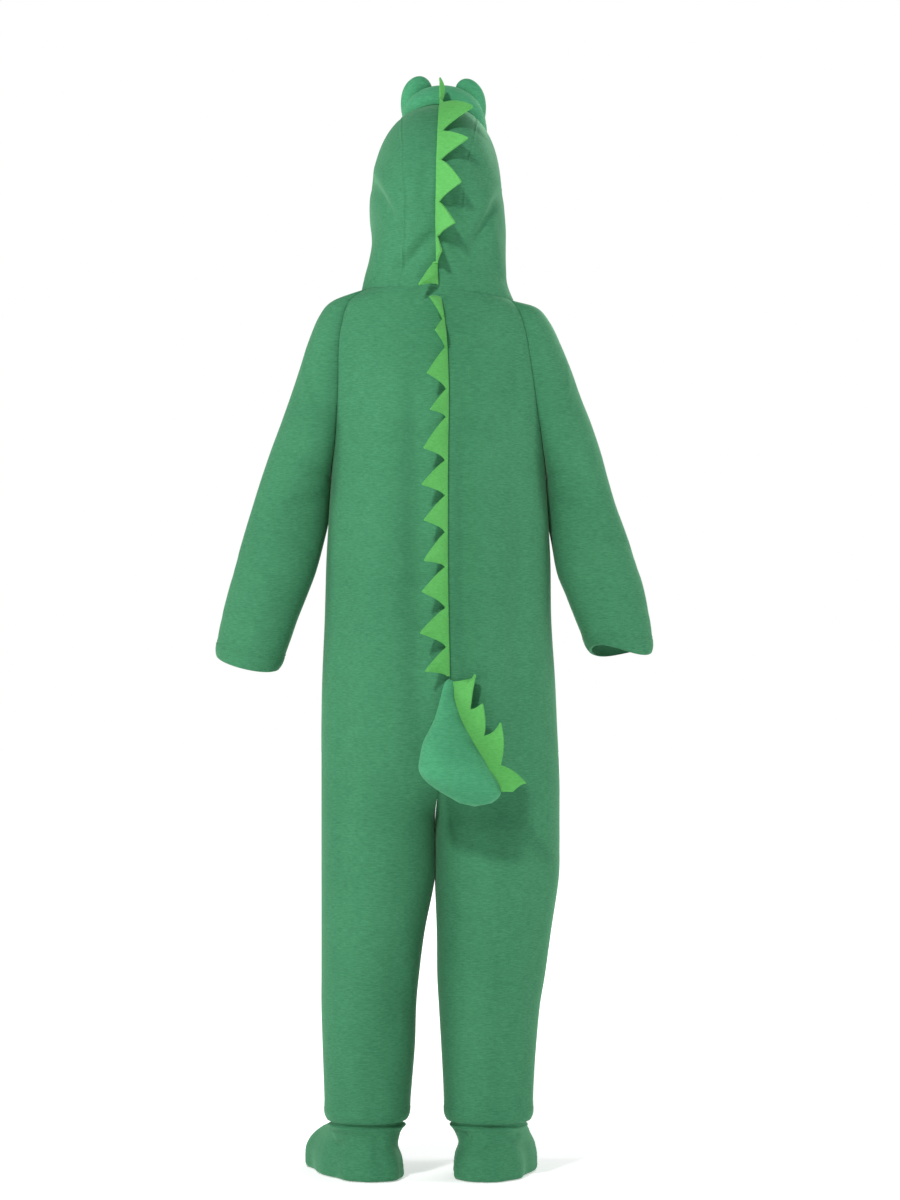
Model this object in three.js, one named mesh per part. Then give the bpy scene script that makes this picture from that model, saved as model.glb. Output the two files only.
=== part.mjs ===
// A child's hooded crocodile costume: a one-piece suit of green fleece with a hood, a padded brow,
// felt spikes along the spine, a stuffed tail and loose boot covers.
// Millimetres. +Z is up, +Y is the back of the costume and +X is the wearer's left.
// The origin is in the middle of the neck.
import * as THREE from 'three';

// Driving dimensions
const CLOTH = 2;
const FELT = 2;
const SEAM_GAP = 0.36;
const CLEARANCE = 0.45;
const NECK_LEAN = 0.073;
const NECK_SLOPE = 0.08;
const RADIANS = Math.PI / 180;

const fleece = () => new THREE.MeshStandardMaterial({ color: 0x3f9463, roughness: 0.95, metalness: 0 });
const felt = () => new THREE.MeshStandardMaterial({ color: 0x64c264, roughness: 0.95, metalness: 0 });

// A table is read by column name.
function table(columns, rows) {
  return rows.map((row) => Object.fromEntries(row.map((value, i) => [columns[i], value])));
}

// The value of a column at a fractional row, on a smooth curve through the rows.
function along(rows, column, place) {
  const last = rows.length - 1;
  const i = Math.min(Math.floor(place), last - 1);
  const t = place - i;
  const value = (k) => rows[Math.max(0, Math.min(last, k))][column];
  const slope = (k) => (value(k + 1) - value(k - 1)) / 2;
  const square = t * t;
  const cube = square * t;
  return value(i) * (2 * cube - 3 * square + 1) + value(i + 1) * (3 * square - 2 * cube)
    + slope(i) * (cube - 2 * square + t) + slope(i + 1) * (cube - square);
}

const vector = (x, y, z) => new THREE.Vector3(x, y, z);
const signedPower = (value, power) => Math.sign(value) * Math.abs(value) ** power;

// The suit, from the neck to the hems. Each row is one level: the centre seam, the side seams, the
// depth behind and in front, the raglan seams, and the share and inner edges of the two legs.
const SUIT = table(
  ['z', 'tilt', 'seam', 'sideL', 'sideR', 'back', 'front', 'raglanL', 'raglanR', 'leg', 'innerL', 'innerR',
    'legDepth'],
  [
    [-6, 1, 0, 92, -92, 80, 80, 86, -86, 0, 3.5, 3.5, 86],
    [-22, 0.9, -4, 118, -114, 84, 85, 106, -97, 0, 3.5, 3.5, 86],
    [-49, 0.75, -8, 130, -126, 90, 90, 115, -105, 0, 3.5, 3.5, 86],
    [-76, 0.6, -10.5, 134, -131, 95, 94, 118.5, -109.5, 0, 3.5, 3.5, 86],
    [-114, 0.4, -12, 134, -134, 100, 97, 119, -115, 0, 3.5, 3.5, 86],
    [-145, 0.25, -12, 133, -134, 102, 98, 120.5, -119, 0, 3.5, 3.5, 86],
    [-178, 0.1, -11.5, 131, -132, 103, 98, 122.5, -124, 0, 3.5, 3.5, 86],
    [-220, 0, -11, 128.5, -129.5, 104, 98, 128.5, -129.5, 0, 3.5, 3.5, 86],
    [-268, 0, -11, 131, -132, 104, 98, 131, -132, 0, 3.5, 3.5, 86],
    [-322, 0, -11, 134, -135, 104, 98, 134, -135, 0, 3.5, 3.5, 86],
    [-392, 0, -12, 136, -136, 104, 98, 136, -136, 0, 3.5, 3.5, 86],
    [-464, 0, -13.5, 139, -140.5, 105, 98, 139, -140.5, 0, 3.5, 3.5, 86],
    [-520, 0, -13.5, 140, -143, 106, 97, 140, -143, 0, 3.5, 3.5, 86],
    [-560, 0, -10, 140, -145, 105, 96, 140, -145, 0.12, 3.5, 3.5, 86],
    [-590, 0, -5, 140, -146, 103, 95, 140, -146, 0.35, 3.5, 3.5, 86],
    [-616, 0, 0, 140, -146, 101, 94, 140, -146, 0.68, 3.5, 3.5, 86],
    [-640, 0, 3.5, 140, -146, 98, 93, 140, -146, 1, 3.5, 3.5, 86],
    [-662, 0, 3.5, 140, -146, 98, 93, 140, -146, 1, 4, 3.4, 85],
    [-702, 0, 3.5, 140, -145, 98, 93, 140, -145, 1, 4.6, 3.4, 82],
    [-764, 0, 3.5, 140, -136, 98, 93, 140, -136, 1, 17, 1.2, 77],
    [-818, 0, 3.5, 140, -128.5, 98, 93, 140, -128.5, 1, 24, -1.2, 72],
    [-854, 0, 3.5, 140, -122.5, 98, 93, 140, -122.5, 1, 27.6, -2.5, 69],
    [-901, 0, 3.5, 138.6, -118, 98, 93, 138.6, -118, 1, 30, -4.5, 65],
    [-946, 0, 3.5, 137, -115, 98, 93, 137, -115, 1, 33, -6, 61],
    [-992, 0, 3.5, 135.5, -113.5, 98, 93, 135.5, -113.5, 1, 36, -9, 57],
  ],
);
const UNDERARM_ROW = 7;
const FRONT_SEAM_ROW = 12;
const CROTCH_ROW = 16;
const SUIT_COLUMNS = 10;

// The large soft folds of the suit: a trough is negative and a ridge positive.
const FOLDS = table(
  ['x', 'width', 'top', 'bottom', 'deep', 'face'],
  [
    [24, 17, -120, -610, -3.5, 1],
    [-28, 12, -90, -560, -3, 1],
    [-58, 17, -60, -700, 3, 1],
    [-96, 14, -150, -640, -4, 1],
    [112, 13, -260, -900, -4, 1],
    [72, 22, -160, -520, 2.5, 1],
    [52, 15, -740, -942, -4, 1],
    [-98, 12, -770, -942, 4, 1],
    [40, 18, -100, -600, -3.5, -1],
    [-46, 18, -140, -640, -3.5, -1],
    [88, 16, -300, -880, -4, -1],
    [-92, 16, -260, -760, 3.5, -1],
  ],
);

// How far the folds move the cloth out at a place, as soft bumps across and along.
function foldAt(x, z, face) {
  let sum = 0;
  for (const fold of FOLDS) {
    if (fold.face !== face || z > fold.top || z < fold.bottom) continue;
    const length = (fold.top - z) / (fold.top - fold.bottom);
    const across = (x - fold.x) / fold.width;
    sum += fold.deep * Math.exp(-across * across) * Math.sin(Math.PI * length);
  }
  return sum;
}

// A point of the suit. side is 1 for the left and -1 for the right, face is 1 behind and -1 in
// front, and u goes from the centre seam or inseam (0) to the side or raglan seam (1).
function suitPoint(row, side, face, u) {
  const outer = side > 0 ? row.sideL : row.sideR;
  const raglan = side > 0 ? row.raglanL : row.raglanR;
  const inner = side > 0 ? row.innerL : row.innerR;
  const depth = face > 0 ? row.back : row.front;
  const reach = Math.asin(Math.min(1, (raglan - row.seam) / (outer - row.seam)));
  const turn = reach * u;
  const bodyX = row.seam + (outer - row.seam) * Math.sin(turn);
  const bodyY = depth * Math.cos(turn);
  const legX = (outer + inner) / 2 - (outer - inner) / 2 * Math.cos(Math.PI * u);
  const legY = row.legDepth * Math.sin(Math.PI * u);
  const x = bodyX + (legX - bodyX) * row.leg;
  const level = bodyY + (legY - bodyY) * row.leg;
  const calm = Math.min(1, level / 40);
  const y = face * (level + calm * foldAt(x, row.z, face));
  const z = row.z + row.tilt * (NECK_LEAN * x + NECK_SLOPE * y);
  return vector(x, y, z);
}

// The raglan sleeves. Outer is the point over the shoulder and arm, and inner is the underarm
// seam. Depth rounds the sleeve out behind and in front, and round goes from the open cap at the
// neck (0) to a whole tube from the underarm down (1). Sag is how far the back of the cuff hangs
// below its front, and wave waves the cuff's edge.
const SLEEVE_COLUMNS = ['outerX', 'outerZ', 'innerX', 'innerZ', 'depth', 'middleY', 'round', 'sag', 'wave'];
const SLEEVES = {
  left: table(SLEEVE_COLUMNS, [
    [92, 0.7, 0, 0, 0, 0, 0, 0, 0],
    [127, -11, 0, 0, 1, 0, 0.05, 0, 0],
    [143, -29, 0, 0, 3, -1, 0.12, 0, 0],
    [156, -60, 0, 0, 5, -2, 0.22, 0, 0],
    [166, -91, 0, 0, 8, -3, 0.38, 0, 0],
    [176, -121, 0, 0, 13, -4, 0.58, 0, 0],
    [188, -155, 0, 0, 25, -4, 0.8, 0, 0],
    [201, -190, 128.5, -220, 48, -4, 1, 0, 0],
    [212, -222, 130.1, -243, 47, -5, 1, 0, 0],
    [223, -257, 131.8, -270, 46, -6, 1, 0, 0],
    [235, -296, 137, -300, 46, -8, 1, 0, 0],
    [244, -328, 146, -334, 45, -10, 1, 0, 0],
    [252, -357, 158, -366, 44, -12, 1, 0, 0],
    [259, -384, 168, -391, 43, -13, 1, 0, 0],
    [264, -408, 178, -420, 42, -14, 1, 2.5, 0],
    [268.5, -436, 190, -453, 41, -15, 1, 7, 0],
  ]),
  right: table(SLEEVE_COLUMNS, [
    [-92, -12.7, 0, 0, 0, 0, 0, 0, 0],
    [-119, -19, 0, 0, 1, 0, 0.05, 0, 0],
    [-135, -37, 0, 0, 3, -1, 0.12, 0, 0],
    [-148, -64, 0, 0, 5, -2, 0.22, 0, 0],
    [-160, -93, 0, 0, 8, -3, 0.38, 0, 0],
    [-171, -124, 0, 0, 13, -4, 0.58, 0, 0],
    [-184, -157, 0, 0, 25, -4, 0.8, 0, 0],
    [-196, -193, -129.5, -220, 48, -4, 1, 0, 0],
    [-205, -226, -131.2, -246, 47, -5, 1, 0, 0],
    [-214, -256, -132.9, -274, 46, -6, 1, 0, 0],
    [-226, -288, -136.5, -303, 46, -8, 1, 0, 0],
    [-237, -321, -142.5, -336, 45, -10, 1, 0, 0],
    [-246, -349, -152.5, -361, 44, -12, 1, 0, 0],
    [-252, -376, -161.5, -384, 43, -13, 1, 0, 0],
    [-256.5, -402, -170.5, -406, 42, -14, 1, -1, -1],
    [-259, -432, -180, -430, 41, -15, 1, -3.5, -4.5],
  ]),
};
const SLEEVE_STEPS = 18;

// A point of a sleeve. u goes from the back seam, over the outer side, to the front seam.
function sleevePoint(side, index, u) {
  const row = (side > 0 ? SLEEVES.left : SLEEVES.right)[index];
  const onBody = index < UNDERARM_ROW;
  const inner = vector(row.innerX, 0, row.innerZ);
  const seamBack = onBody ? suitPoint(SUIT[index], side, 1, 1) : inner;
  const seamFront = onBody ? suitPoint(SUIT[index], side, -1, 1) : inner;
  const middle = seamBack.clone().add(seamFront).multiplyScalar(0.5);
  const half = seamBack.clone().sub(seamFront).multiplyScalar(0.5);
  const outer = vector(row.outerX, row.middleY, row.outerZ);
  const open = Math.sin(Math.PI * u);
  const tube = (1 - Math.cos(2 * Math.PI * u)) / 2;
  const reach = open + (tube - open) * row.round;
  const point = middle.clone().addScaledVector(outer.sub(middle), reach);
  point.addScaledVector(half, Math.cos(Math.PI * u));
  point.y += row.depth * Math.sin(2 * Math.PI * u);
  point.z -= row.sag * Math.sin(2 * Math.PI * u) + row.wave * Math.sin(4 * Math.PI * u);
  return point;
}

// The hood. Each row is an arc from the face edge on one side, round the back, to the other side.
// The first lies on the neck seam, and the last stands over the forehead. The rows after that
// carry the brow on over the face.
const HOOD = table(
  ['backY', 'backZ', 'sideY', 'sideZ', 'halfL', 'halfR', 'edgeY', 'seamL', 'seamR', 'shift', 'full', 'tilt'],
  [
    [80, 0.4, 0, -6, 92, 92, -78.5, 48, 48, 0, 1, 1],
    [79, 22, -4, 14, 87, 84.5, -84, 43, 43, 1, 0.97, 0.8],
    [82, 50, -10, 34, 81.5, 83, -90, 39, 36, 1.5, 0.94, 0.5],
    [90, 82, -18, 54, 77.8, 83.5, -95, 38, 33, 2, 0.92, 0.3],
    [97, 112, -28, 74, 79, 83.3, -98, 38, 33, 1.5, 0.9, 0.1],
    [98, 142, -38, 92, 81.6, 81.6, -99, 40, 36, 1, 0.9, 0],
    [90, 170, -48, 107, 82.8, 79.5, -100, 42, 40, 0, 0.9, 0],
    [72, 196, -58, 118, 82, 76, -100, 45, 43, -1, 0.9, 0],
    [44, 215, -67, 125, 81.5, 73, -99, 46, 44, -2, 0.9, 0],
    [8, 225, -75, 129, 81, 71.5, -97, 47, 44, -3.5, 0.9, 0],
    [-32, 227, -82, 130, 80.5, 71, -94, 48, 44, -5, 0.9, 0],
    [-72, 223, -90, 128, 80, 71, -92, 47, 43, -6, 0.9, 0],
    [-104, 216, -112, 118, 76, 71, -112, 40, 40, -8, 0.9, 0],
    [-134, 206, -138, 112, 69, 67, -138, 36, 36, -9, 0.9, 0],
    [-160, 196, -160, 108, 60, 60, -160, 30, 30, -10, 0.9, 0],
  ],
);
const HOOD_ROWS = 12;
const CROWN_COLUMNS = 5;
const HOOD_SIDE_COLUMNS = 8;

const hoodHalf = (place, side) => along(HOOD, side > 0 ? 'halfL' : 'halfR', place);

// A point of the hood at a fractional row, at an angle from the centre line (0) to the side.
function hoodPoint(place, side, angle) {
  const value = (column) => along(HOOD, column, place);
  const sine = signedPower(Math.sin(angle), value('full'));
  const cosine = signedPower(Math.cos(angle), value('full'));
  const x = side * hoodHalf(place, side) * sine + value('shift');
  const y = value('sideY') + (value('backY') - value('sideY')) * cosine;
  const z = value('sideZ') + (value('backZ') - value('sideZ')) * cosine;
  return vector(x, y, z + NECK_LEAN * value('tilt') * x);
}

function hoodSeamAngle(place, side) {
  const share = along(HOOD, side > 0 ? 'seamL' : 'seamR', place) / hoodHalf(place, side);
  return Math.asin(share ** (1 / along(HOOD, 'full', place)));
}

function hoodEdgeAngle(place) {
  const sideY = along(HOOD, 'sideY', place);
  const share = (sideY - along(HOOD, 'edgeY', place)) / (along(HOOD, 'backY', place) - sideY);
  return Math.PI - Math.acos(Math.min(1, share ** (1 / along(HOOD, 'full', place))));
}

// A grid of points, rows by columns, from a function of the row number and of 0 to 1 across.
function grid(rows, steps, pointAt) {
  const points = [];
  for (let row = 0; row < rows; row += 1) {
    const line = [];
    for (let step = 0; step <= steps; step += 1) line.push(pointAt(row, step / steps));
    points.push(line);
  }
  return points;
}

// The summed face normals at each point of a grid. facing turns them to the outside.
function gridNormals(points, facing) {
  const normals = points.map((line) => line.map(() => vector(0, 0, 0)));
  for (let r = 0; r < points.length - 1; r += 1) {
    for (let c = 0; c < points[r].length - 1; c += 1) {
      const first = points[r + 1][c + 1].clone().sub(points[r][c]);
      const second = points[r + 1][c].clone().sub(points[r][c + 1]);
      const normal = first.cross(second).multiplyScalar(facing);
      for (const [i, j] of [[r, c], [r + 1, c], [r, c + 1], [r + 1, c + 1]]) normals[i][j].add(normal);
    }
  }
  return normals;
}

// A closed solid between two grids of the same size.
function solidBetween(name, outside, inside, material) {
  const rows = outside.length;
  const columns = outside[0].length;
  const count = rows * columns;
  const positions = [];
  for (const points of [outside, inside]) {
    for (const line of points) {
      for (const point of line) positions.push(point.x, point.y, point.z);
    }
  }
  const faces = [];
  const quad = (a, b, c, d) => faces.push(a, b, c, a, c, d);
  const at = (r, c) => r * columns + c;
  const side = columns - 1;
  for (let r = 0; r < rows - 1; r += 1) {
    for (let c = 0; c < columns - 1; c += 1) {
      quad(at(r, c), at(r, c + 1), at(r + 1, c + 1), at(r + 1, c));
      quad(count + at(r, c), count + at(r + 1, c), count + at(r + 1, c + 1), count + at(r, c + 1));
    }
  }
  for (let c = 0; c < columns - 1; c += 1) {
    quad(at(0, c), count + at(0, c), count + at(0, c + 1), at(0, c + 1));
    quad(at(rows - 1, c), at(rows - 1, c + 1), count + at(rows - 1, c + 1), count + at(rows - 1, c));
  }
  for (let r = 0; r < rows - 1; r += 1) {
    quad(at(r, 0), at(r + 1, 0), count + at(r + 1, 0), count + at(r, 0));
    quad(at(r, side), count + at(r, side), count + at(r + 1, side), at(r + 1, side));
  }
  return meshOf(name, positions, faces, material);
}

// A mesh with its faces turned outwards.
function meshOf(name, positions, faces, material) {
  const corner = (i) => vector(positions[3 * i], positions[3 * i + 1], positions[3 * i + 2]);
  let volume = 0;
  for (let i = 0; i < faces.length; i += 3) {
    const [a, b, c] = [corner(faces[i]), corner(faces[i + 1]), corner(faces[i + 2])];
    volume += a.dot(b.cross(c));
  }
  const outward = volume > 0 ? faces : faces.slice().reverse();
  const geometry = new THREE.BufferGeometry();
  geometry.setAttribute('position', new THREE.Float32BufferAttribute(positions, 3));
  geometry.setIndex(outward);
  geometry.computeVertexNormals();
  const mesh = new THREE.Mesh(geometry, material);
  mesh.name = name;
  return mesh;
}

// The cloth panels. They are gathered first, because panels that meet share their normals.
const panels = [];

// Points closer than a cell of this lattice are one point. The shift keeps round sizes off its edges.
const CELL = 0.02;
const CELL_SHIFT = 0.137;
const cellOf = (value) => Math.round(value / CELL + CELL_SHIFT);
const seamKey = (point) => [point.x, point.y, point.z].map(cellOf).join(' ');

function addPanel(name, points, facing) {
  panels.push({ name, points, facing });
}

// Panels meet at a point between two tubes under each arm and at the crotch, where the outside
// is below.
const FORKS = [
  suitPoint(SUIT[UNDERARM_ROW], 1, 1, 1),
  suitPoint(SUIT[UNDERARM_ROW], -1, 1, 1),
  suitPoint(SUIT[CROTCH_ROW], 1, 1, 0),
];

// Each edge of a panel is drawn back from its seam, so that half of the seam gap lies on each side.
function drawBack(points) {
  const lastRow = points.length - 1;
  const lastColumn = points[0].length - 1;
  return points.map((line, r) => line.map((point, c) => {
    const towardRow = r === 0 ? 1 : (r === lastRow ? lastRow - 1 : r);
    const towardColumn = c === 0 ? 1 : (c === lastColumn ? lastColumn - 1 : c);
    const moved = point.clone();
    if (towardRow !== r) {
      const way = points[towardRow][c].clone().sub(point).normalize();
      moved.addScaledVector(way, SEAM_GAP / 2);
    }
    if (towardColumn !== c) {
      const way = points[r][towardColumn].clone().sub(point).normalize();
      moved.addScaledVector(way, SEAM_GAP / 2);
    }
    return moved;
  }));
}

// The walls of all panels, each CLOTH thick towards the inside of the suit.
function sewPanels() {
  const shared = new Map();
  for (const panel of panels) {
    panel.normals = gridNormals(panel.points, panel.facing);
    panel.points.forEach((line, r) => line.forEach((point, c) => {
      const key = seamKey(point);
      if (!shared.has(key)) shared.set(key, vector(0, 0, 0));
      shared.get(key).add(panel.normals[r][c]);
    }));
  }
  for (const fork of FORKS) shared.set(seamKey(fork), vector(0, 0, -1));
  const neckNormal = vector(-NECK_LEAN, -NECK_SLOPE, 1).normalize();
  return panels.map((panel) => {
    const inside = panel.points.map((line, r) => line.map((point) => {
      const normal = shared.get(seamKey(point)).clone();
      if (r === 0 && panel.onNeck) normal.addScaledVector(neckNormal, -normal.dot(neckNormal));
      return point.clone().addScaledVector(normal.normalize(), -CLOTH);
    }));
    return solidBetween(panel.name, drawBack(panel.points), drawBack(inside), fleece());
  });
}

// A closed solid of loops that shrink to a point at both ends.
function solidOfLoops(name, top, loops, bottom, material) {
  const size = loops[0].length;
  const positions = [top, ...loops.flat(), bottom].flatMap((point) => [point.x, point.y, point.z]);
  const last = positions.length / 3 - 1;
  const at = (ring, k) => 1 + ring * size + (k % size);
  const faces = [];
  for (let k = 0; k < size; k += 1) {
    faces.push(0, at(0, k), at(0, k + 1));
    faces.push(last, at(loops.length - 1, k + 1), at(loops.length - 1, k));
    for (let ring = 0; ring < loops.length - 1; ring += 1) {
      faces.push(at(ring, k), at(ring + 1, k), at(ring + 1, k + 1));
      faces.push(at(ring, k), at(ring + 1, k + 1), at(ring, k + 1));
    }
  }
  return meshOf(name, positions, faces, material);
}

// The padded brow lies on the front of the hood and stands out over the face as a short snout.
const BROW = { start: 9.4, end: 14, endHalf: 16, half: 46, edge: 2.5, high: 27, seat: 0.95 };
const BROW_ROWS = 13;
const BROW_COLUMNS = 12;

const browBulge = (share) => Math.sqrt(1 - (2 * share - 1) ** 4);

// A point of the brow. share goes from the back (0) to the snout's tip (1), across from one side
// (-1) to the other (1), and raised is 0 on the underside and 1 on the top.
function browPoint(share, across, raised) {
  const place = BROW.start + (BROW.end - BROW.start) * share;
  const half = BROW.endHalf + (BROW.half - BROW.endHalf) * browBulge(share);
  const side = across < 0 ? -1 : 1;
  const sideways = Math.abs(across) * half / hoodHalf(place, side);
  const angle = Math.asin(sideways ** (1 / along(HOOD, 'full', place)));
  const point = hoodPoint(place, side, angle);
  const step = 0.02;
  const lengthwise = hoodPoint(place + step, side, angle).sub(hoodPoint(place - step, side, angle));
  const nearer = Math.max(0, angle - step);
  const crosswise = hoodPoint(place, side, angle + step).sub(hoodPoint(place, side, nearer));
  const normal = lengthwise.cross(crosswise).multiplyScalar(side).normalize();
  if (normal.z < 0) normal.negate();
  const dome = browBulge(share) * Math.sqrt(1 - across ** 2);
  const lift = BROW.seat + raised * (BROW.edge + BROW.high * dome);
  return point.addScaledVector(normal, lift);
}

function makeBrow() {
  const layer = (raised) => grid(BROW_ROWS, BROW_COLUMNS, (row, u) => {
    const even = 1 - 2 * u;
    return browPoint(row / (BROW_ROWS - 1), Math.sin(even * Math.PI / 2), raised);
  });
  return solidBetween('brow', layer(1), layer(0), fleece());
}

// The two padded eye bumps stand on the brow.
const EYES = table(
  ['name', 'share', 'offset', 'radius', 'high', 'lean'],
  [
    ['eye_left', 0.3, 27, 17, 20, 0.2],
    ['eye_right', 0.3, -27, 16, 18, -0.2],
  ],
);
const EYE_STEPS = 14;
const EYE_RINGS = [0.35, 0.65, 0.88, 1];

function makeEye(eye) {
  const length = browPoint(1, 0, 1).distanceTo(browPoint(0, 0, 1));
  const up = vector(eye.lean, 0.15, 1).normalize();
  const place = (radius, turn, lift) => {
    const share = eye.share + eye.radius * radius * Math.sin(turn) / length;
    const half = BROW.endHalf + (BROW.half - BROW.endHalf) * browBulge(share);
    const across = (eye.offset + eye.radius * radius * Math.cos(turn)) / half;
    return browPoint(share, across, 1).addScaledVector(up, CLEARANCE + lift);
  };
  const loop = (radius, lift) => Array.from({ length: EYE_STEPS }, (_, k) => (
    place(radius, k / EYE_STEPS * 2 * Math.PI, lift)));
  const dome = (radius) => eye.high * (1 - radius ** 2.4) ** 0.5;
  const upper = EYE_RINGS.slice(0, -1).map((radius) => loop(radius, dome(radius) + 1));
  const lower = EYE_RINGS.slice(0, -1).reverse().map((radius) => loop(radius, 0));
  const loops = [...upper, loop(1, 1), ...lower];
  return solidOfLoops(eye.name, place(0, 0, eye.high + 1), loops, place(0, 0, 0), fleece());
}

// A felt strip with teeth stands on a line of seam points. Its foot is upright, and each tooth then
// leans over. Each station gives a point on the cloth, the way out of it, the way the tooth leans
// with its length, and how far its top is swept along the line.
const STRIP_FOOT = 3.5;

function makeStrip(name, stations) {
  const levels = [0, 1, 0.5, 1];
  const points = levels.map((level, k) => stations.map((station) => {
    const foot = station.point.clone().addScaledVector(station.out, CLEARANCE);
    if (k === 0) return foot;
    foot.addScaledVector(station.out, STRIP_FOOT);
    if (k === 1) return foot;
    const reach = (station.height - STRIP_FOOT) * level;
    return foot.addScaledVector(station.lean, reach).addScaledVector(station.sweep, level * level);
  }));
  const normals = gridNormals(points, 1);
  const layer = (offset) => points.map((line, r) => line.map((point, c) => (
    point.clone().addScaledVector(normals[r][c].clone().normalize(), offset))));
  return solidBetween(name, layer(FELT / 2), layer(-FELT / 2), felt());
}

// The stations of a row of teeth. lineAt gives a point, a way out and a way along at a place.
// In each tooth's row: where it starts and ends, where its tip points, its height, and its lean
// to the left (positive) or right of the line against its lean outwards.
const TOOTH_STEPS = [0, 0.25, 0.5, 0.75];
const CLOSEST_STEPS = 0.03;

// The shares of a tooth that get a station: its own steps, and each corner of the line under it.
function toothShares(tooth, corners) {
  const shares = corners.map((corner) => (corner - tooth.start) / (tooth.end - tooth.start));
  const within = shares.filter((share) => share > CLOSEST_STEPS && share < 1 - CLOSEST_STEPS);
  const added = within.filter((share) => TOOTH_STEPS.every((step) => Math.abs(step - share) > CLOSEST_STEPS));
  return [...TOOTH_STEPS, ...added].sort((a, b) => a - b);
}

function toothStations(teeth, valley, corners, lineAt) {
  const stations = [];
  const addStation = (tooth, share) => {
    const { point, out, way } = lineAt(tooth.start + (tooth.end - tooth.start) * share);
    const length = lineAt(tooth.start).point.distanceTo(lineAt(tooth.end).point);
    const rise = share < 0.5 ? 2 * share : (2 - 2 * share) ** 1.4;
    const left = vector(1, 0, 0);
    const lean = left.multiplyScalar(tooth.lean).addScaledVector(out, tooth.outward).normalize();
    const sweep = way.clone().multiplyScalar((tooth.tip - 0.5) * length * rise);
    stations.push({ point, out, lean, sweep, height: valley + (tooth.high - valley) * rise });
  };
  for (const tooth of teeth) {
    for (const share of toothShares(tooth, corners)) addStation(tooth, share);
  }
  addStation(teeth[teeth.length - 1], 1);
  return stations;
}

// A line through seam points, straight between them, in the plane of the spine.
function lineThrough(points) {
  return (place) => {
    const i = Math.max(0, Math.min(points.length - 2, Math.floor(place)));
    const point = points[i].clone().lerp(points[i + 1], place - i);
    const way = points[i + 1].clone().sub(points[i]).normalize();
    const out = vector(0, -way.z, way.y).normalize();
    return { point, out, way };
  };
}

const TOOTH_COLUMNS = ['start', 'end', 'tip', 'high', 'lean', 'outward'];

// Places along the hood's rows, from the top down to the neck.
const HOOD_TEETH = table(TOOTH_COLUMNS, [
  [9.3, 8.75, 0.3, 32, 0.05, 1],
  [8.75, 6.9, 0.6, 49, -0.95, 0.35],
  [6.9, 5.6, 0.45, 46, -0.9, 0.45],
  [5.6, 3.8, 0.55, 42, -0.75, 0.65],
  [3.8, 2.6, 0.55, 41, -0.6, 0.8],
  [2.6, 1.6, 0.5, 34, -0.15, 1],
  [1.6, 0.25, 0.7, 36, 0.7, 0.7],
]);
const HOOD_VALLEY = 9;

function makeHoodSpikes() {
  const points = Array.from({ length: HOOD_ROWS }, (_, row) => hoodPoint(row, 1, 0));
  const downward = lineThrough(points);
  const lineAt = (place) => {
    const { point, out, way } = downward(place);
    return { point, out: out.negate(), way: way.negate() };
  };
  const corners = points.map((_, row) => row);
  return makeStrip('spikes_hood', toothStations(HOOD_TEETH, HOOD_VALLEY, corners, lineAt));
}

// Levels down the centre-back seam.
const BACK_TEETH = table(TOOTH_COLUMNS, [
  [-13, -39, 0.3, 40, 0.4, 0.9],
  [-39, -73, 0.6, 40, 0.35, 0.95],
  [-73, -121, 0.72, 44, 0.62, 0.8],
  [-121, -154, 0.8, 41, 0.55, 0.8],
  [-154, -205, 0.74, 44, 0.7, 0.7],
  [-205, -246, 0.7, 44, 0.75, 0.65],
  [-246, -289, 0.68, 43, 0.7, 0.7],
  [-289, -330, 0.82, 43, 0.7, 0.7],
  [-330, -378, 0.6, 44, 0.75, 0.65],
  [-378, -424, 0.64, 46, 0.8, 0.6],
  [-424, -458, 0.84, 42, 0.75, 0.65],
]);
const BACK_VALLEY = 7;

function makeBackSpikes() {
  const points = SUIT.map((row) => suitPoint(row, 1, 1, 0));
  const downward = lineThrough(points);
  const placeOf = (level) => {
    const i = points.findIndex((point, k) => k + 1 < points.length && points[k + 1].z <= level);
    return i + (level - points[i].z) / (points[i + 1].z - points[i].z);
  };
  const corners = points.map((point) => point.z);
  const lineAt = (level) => downward(placeOf(level));
  return makeStrip('spikes_back', toothStations(BACK_TEETH, BACK_VALLEY, corners, lineAt));
}

// The stuffed tail hangs from the seat: rings from its narrow top to its round end.
const TAIL = table(
  ['z', 'x', 'y', 'halfX', 'halfY'],
  [
    [-464, -13.4, 108.2, 5, 3.2],
    [-474, -12.5, 112, 7, 5.5],
    [-486, -11.5, 117.5, 9, 10],
    [-509, -12, 127, 16.5, 18],
    [-534, -12.9, 139, 29.5, 28],
    [-553, -17, 146, 37, 34],
    [-566, -20.8, 149, 40.5, 36],
    [-578, -28, 150, 41.5, 36],
    [-589, -36, 149, 37, 32],
    [-598, -42, 148, 28.5, 25],
    [-605, -44, 147, 18.5, 17],
  ],
);
const TAIL_STEPS = 18;
const TAIL_TOP = vector(-13.6, 107, -460.5);
const TAIL_END = vector(-43, 146, -609);

// A point of the tail at a fractional row. turn is measured from the back towards the left.
function tailPoint(place, turn) {
  const value = (column) => along(TAIL, column, place);
  return vector(value('x') + value('halfX') * Math.sin(turn), value('y') + value('halfY') * Math.cos(turn),
    value('z'));
}

function makeTail() {
  const loops = TAIL.map((_, row) => Array.from({ length: TAIL_STEPS }, (_unused, k) => (
    tailPoint(row, k / TAIL_STEPS * 2 * Math.PI))));
  return solidOfLoops('tail', TAIL_TOP, loops, TAIL_END, fleece());
}

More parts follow.
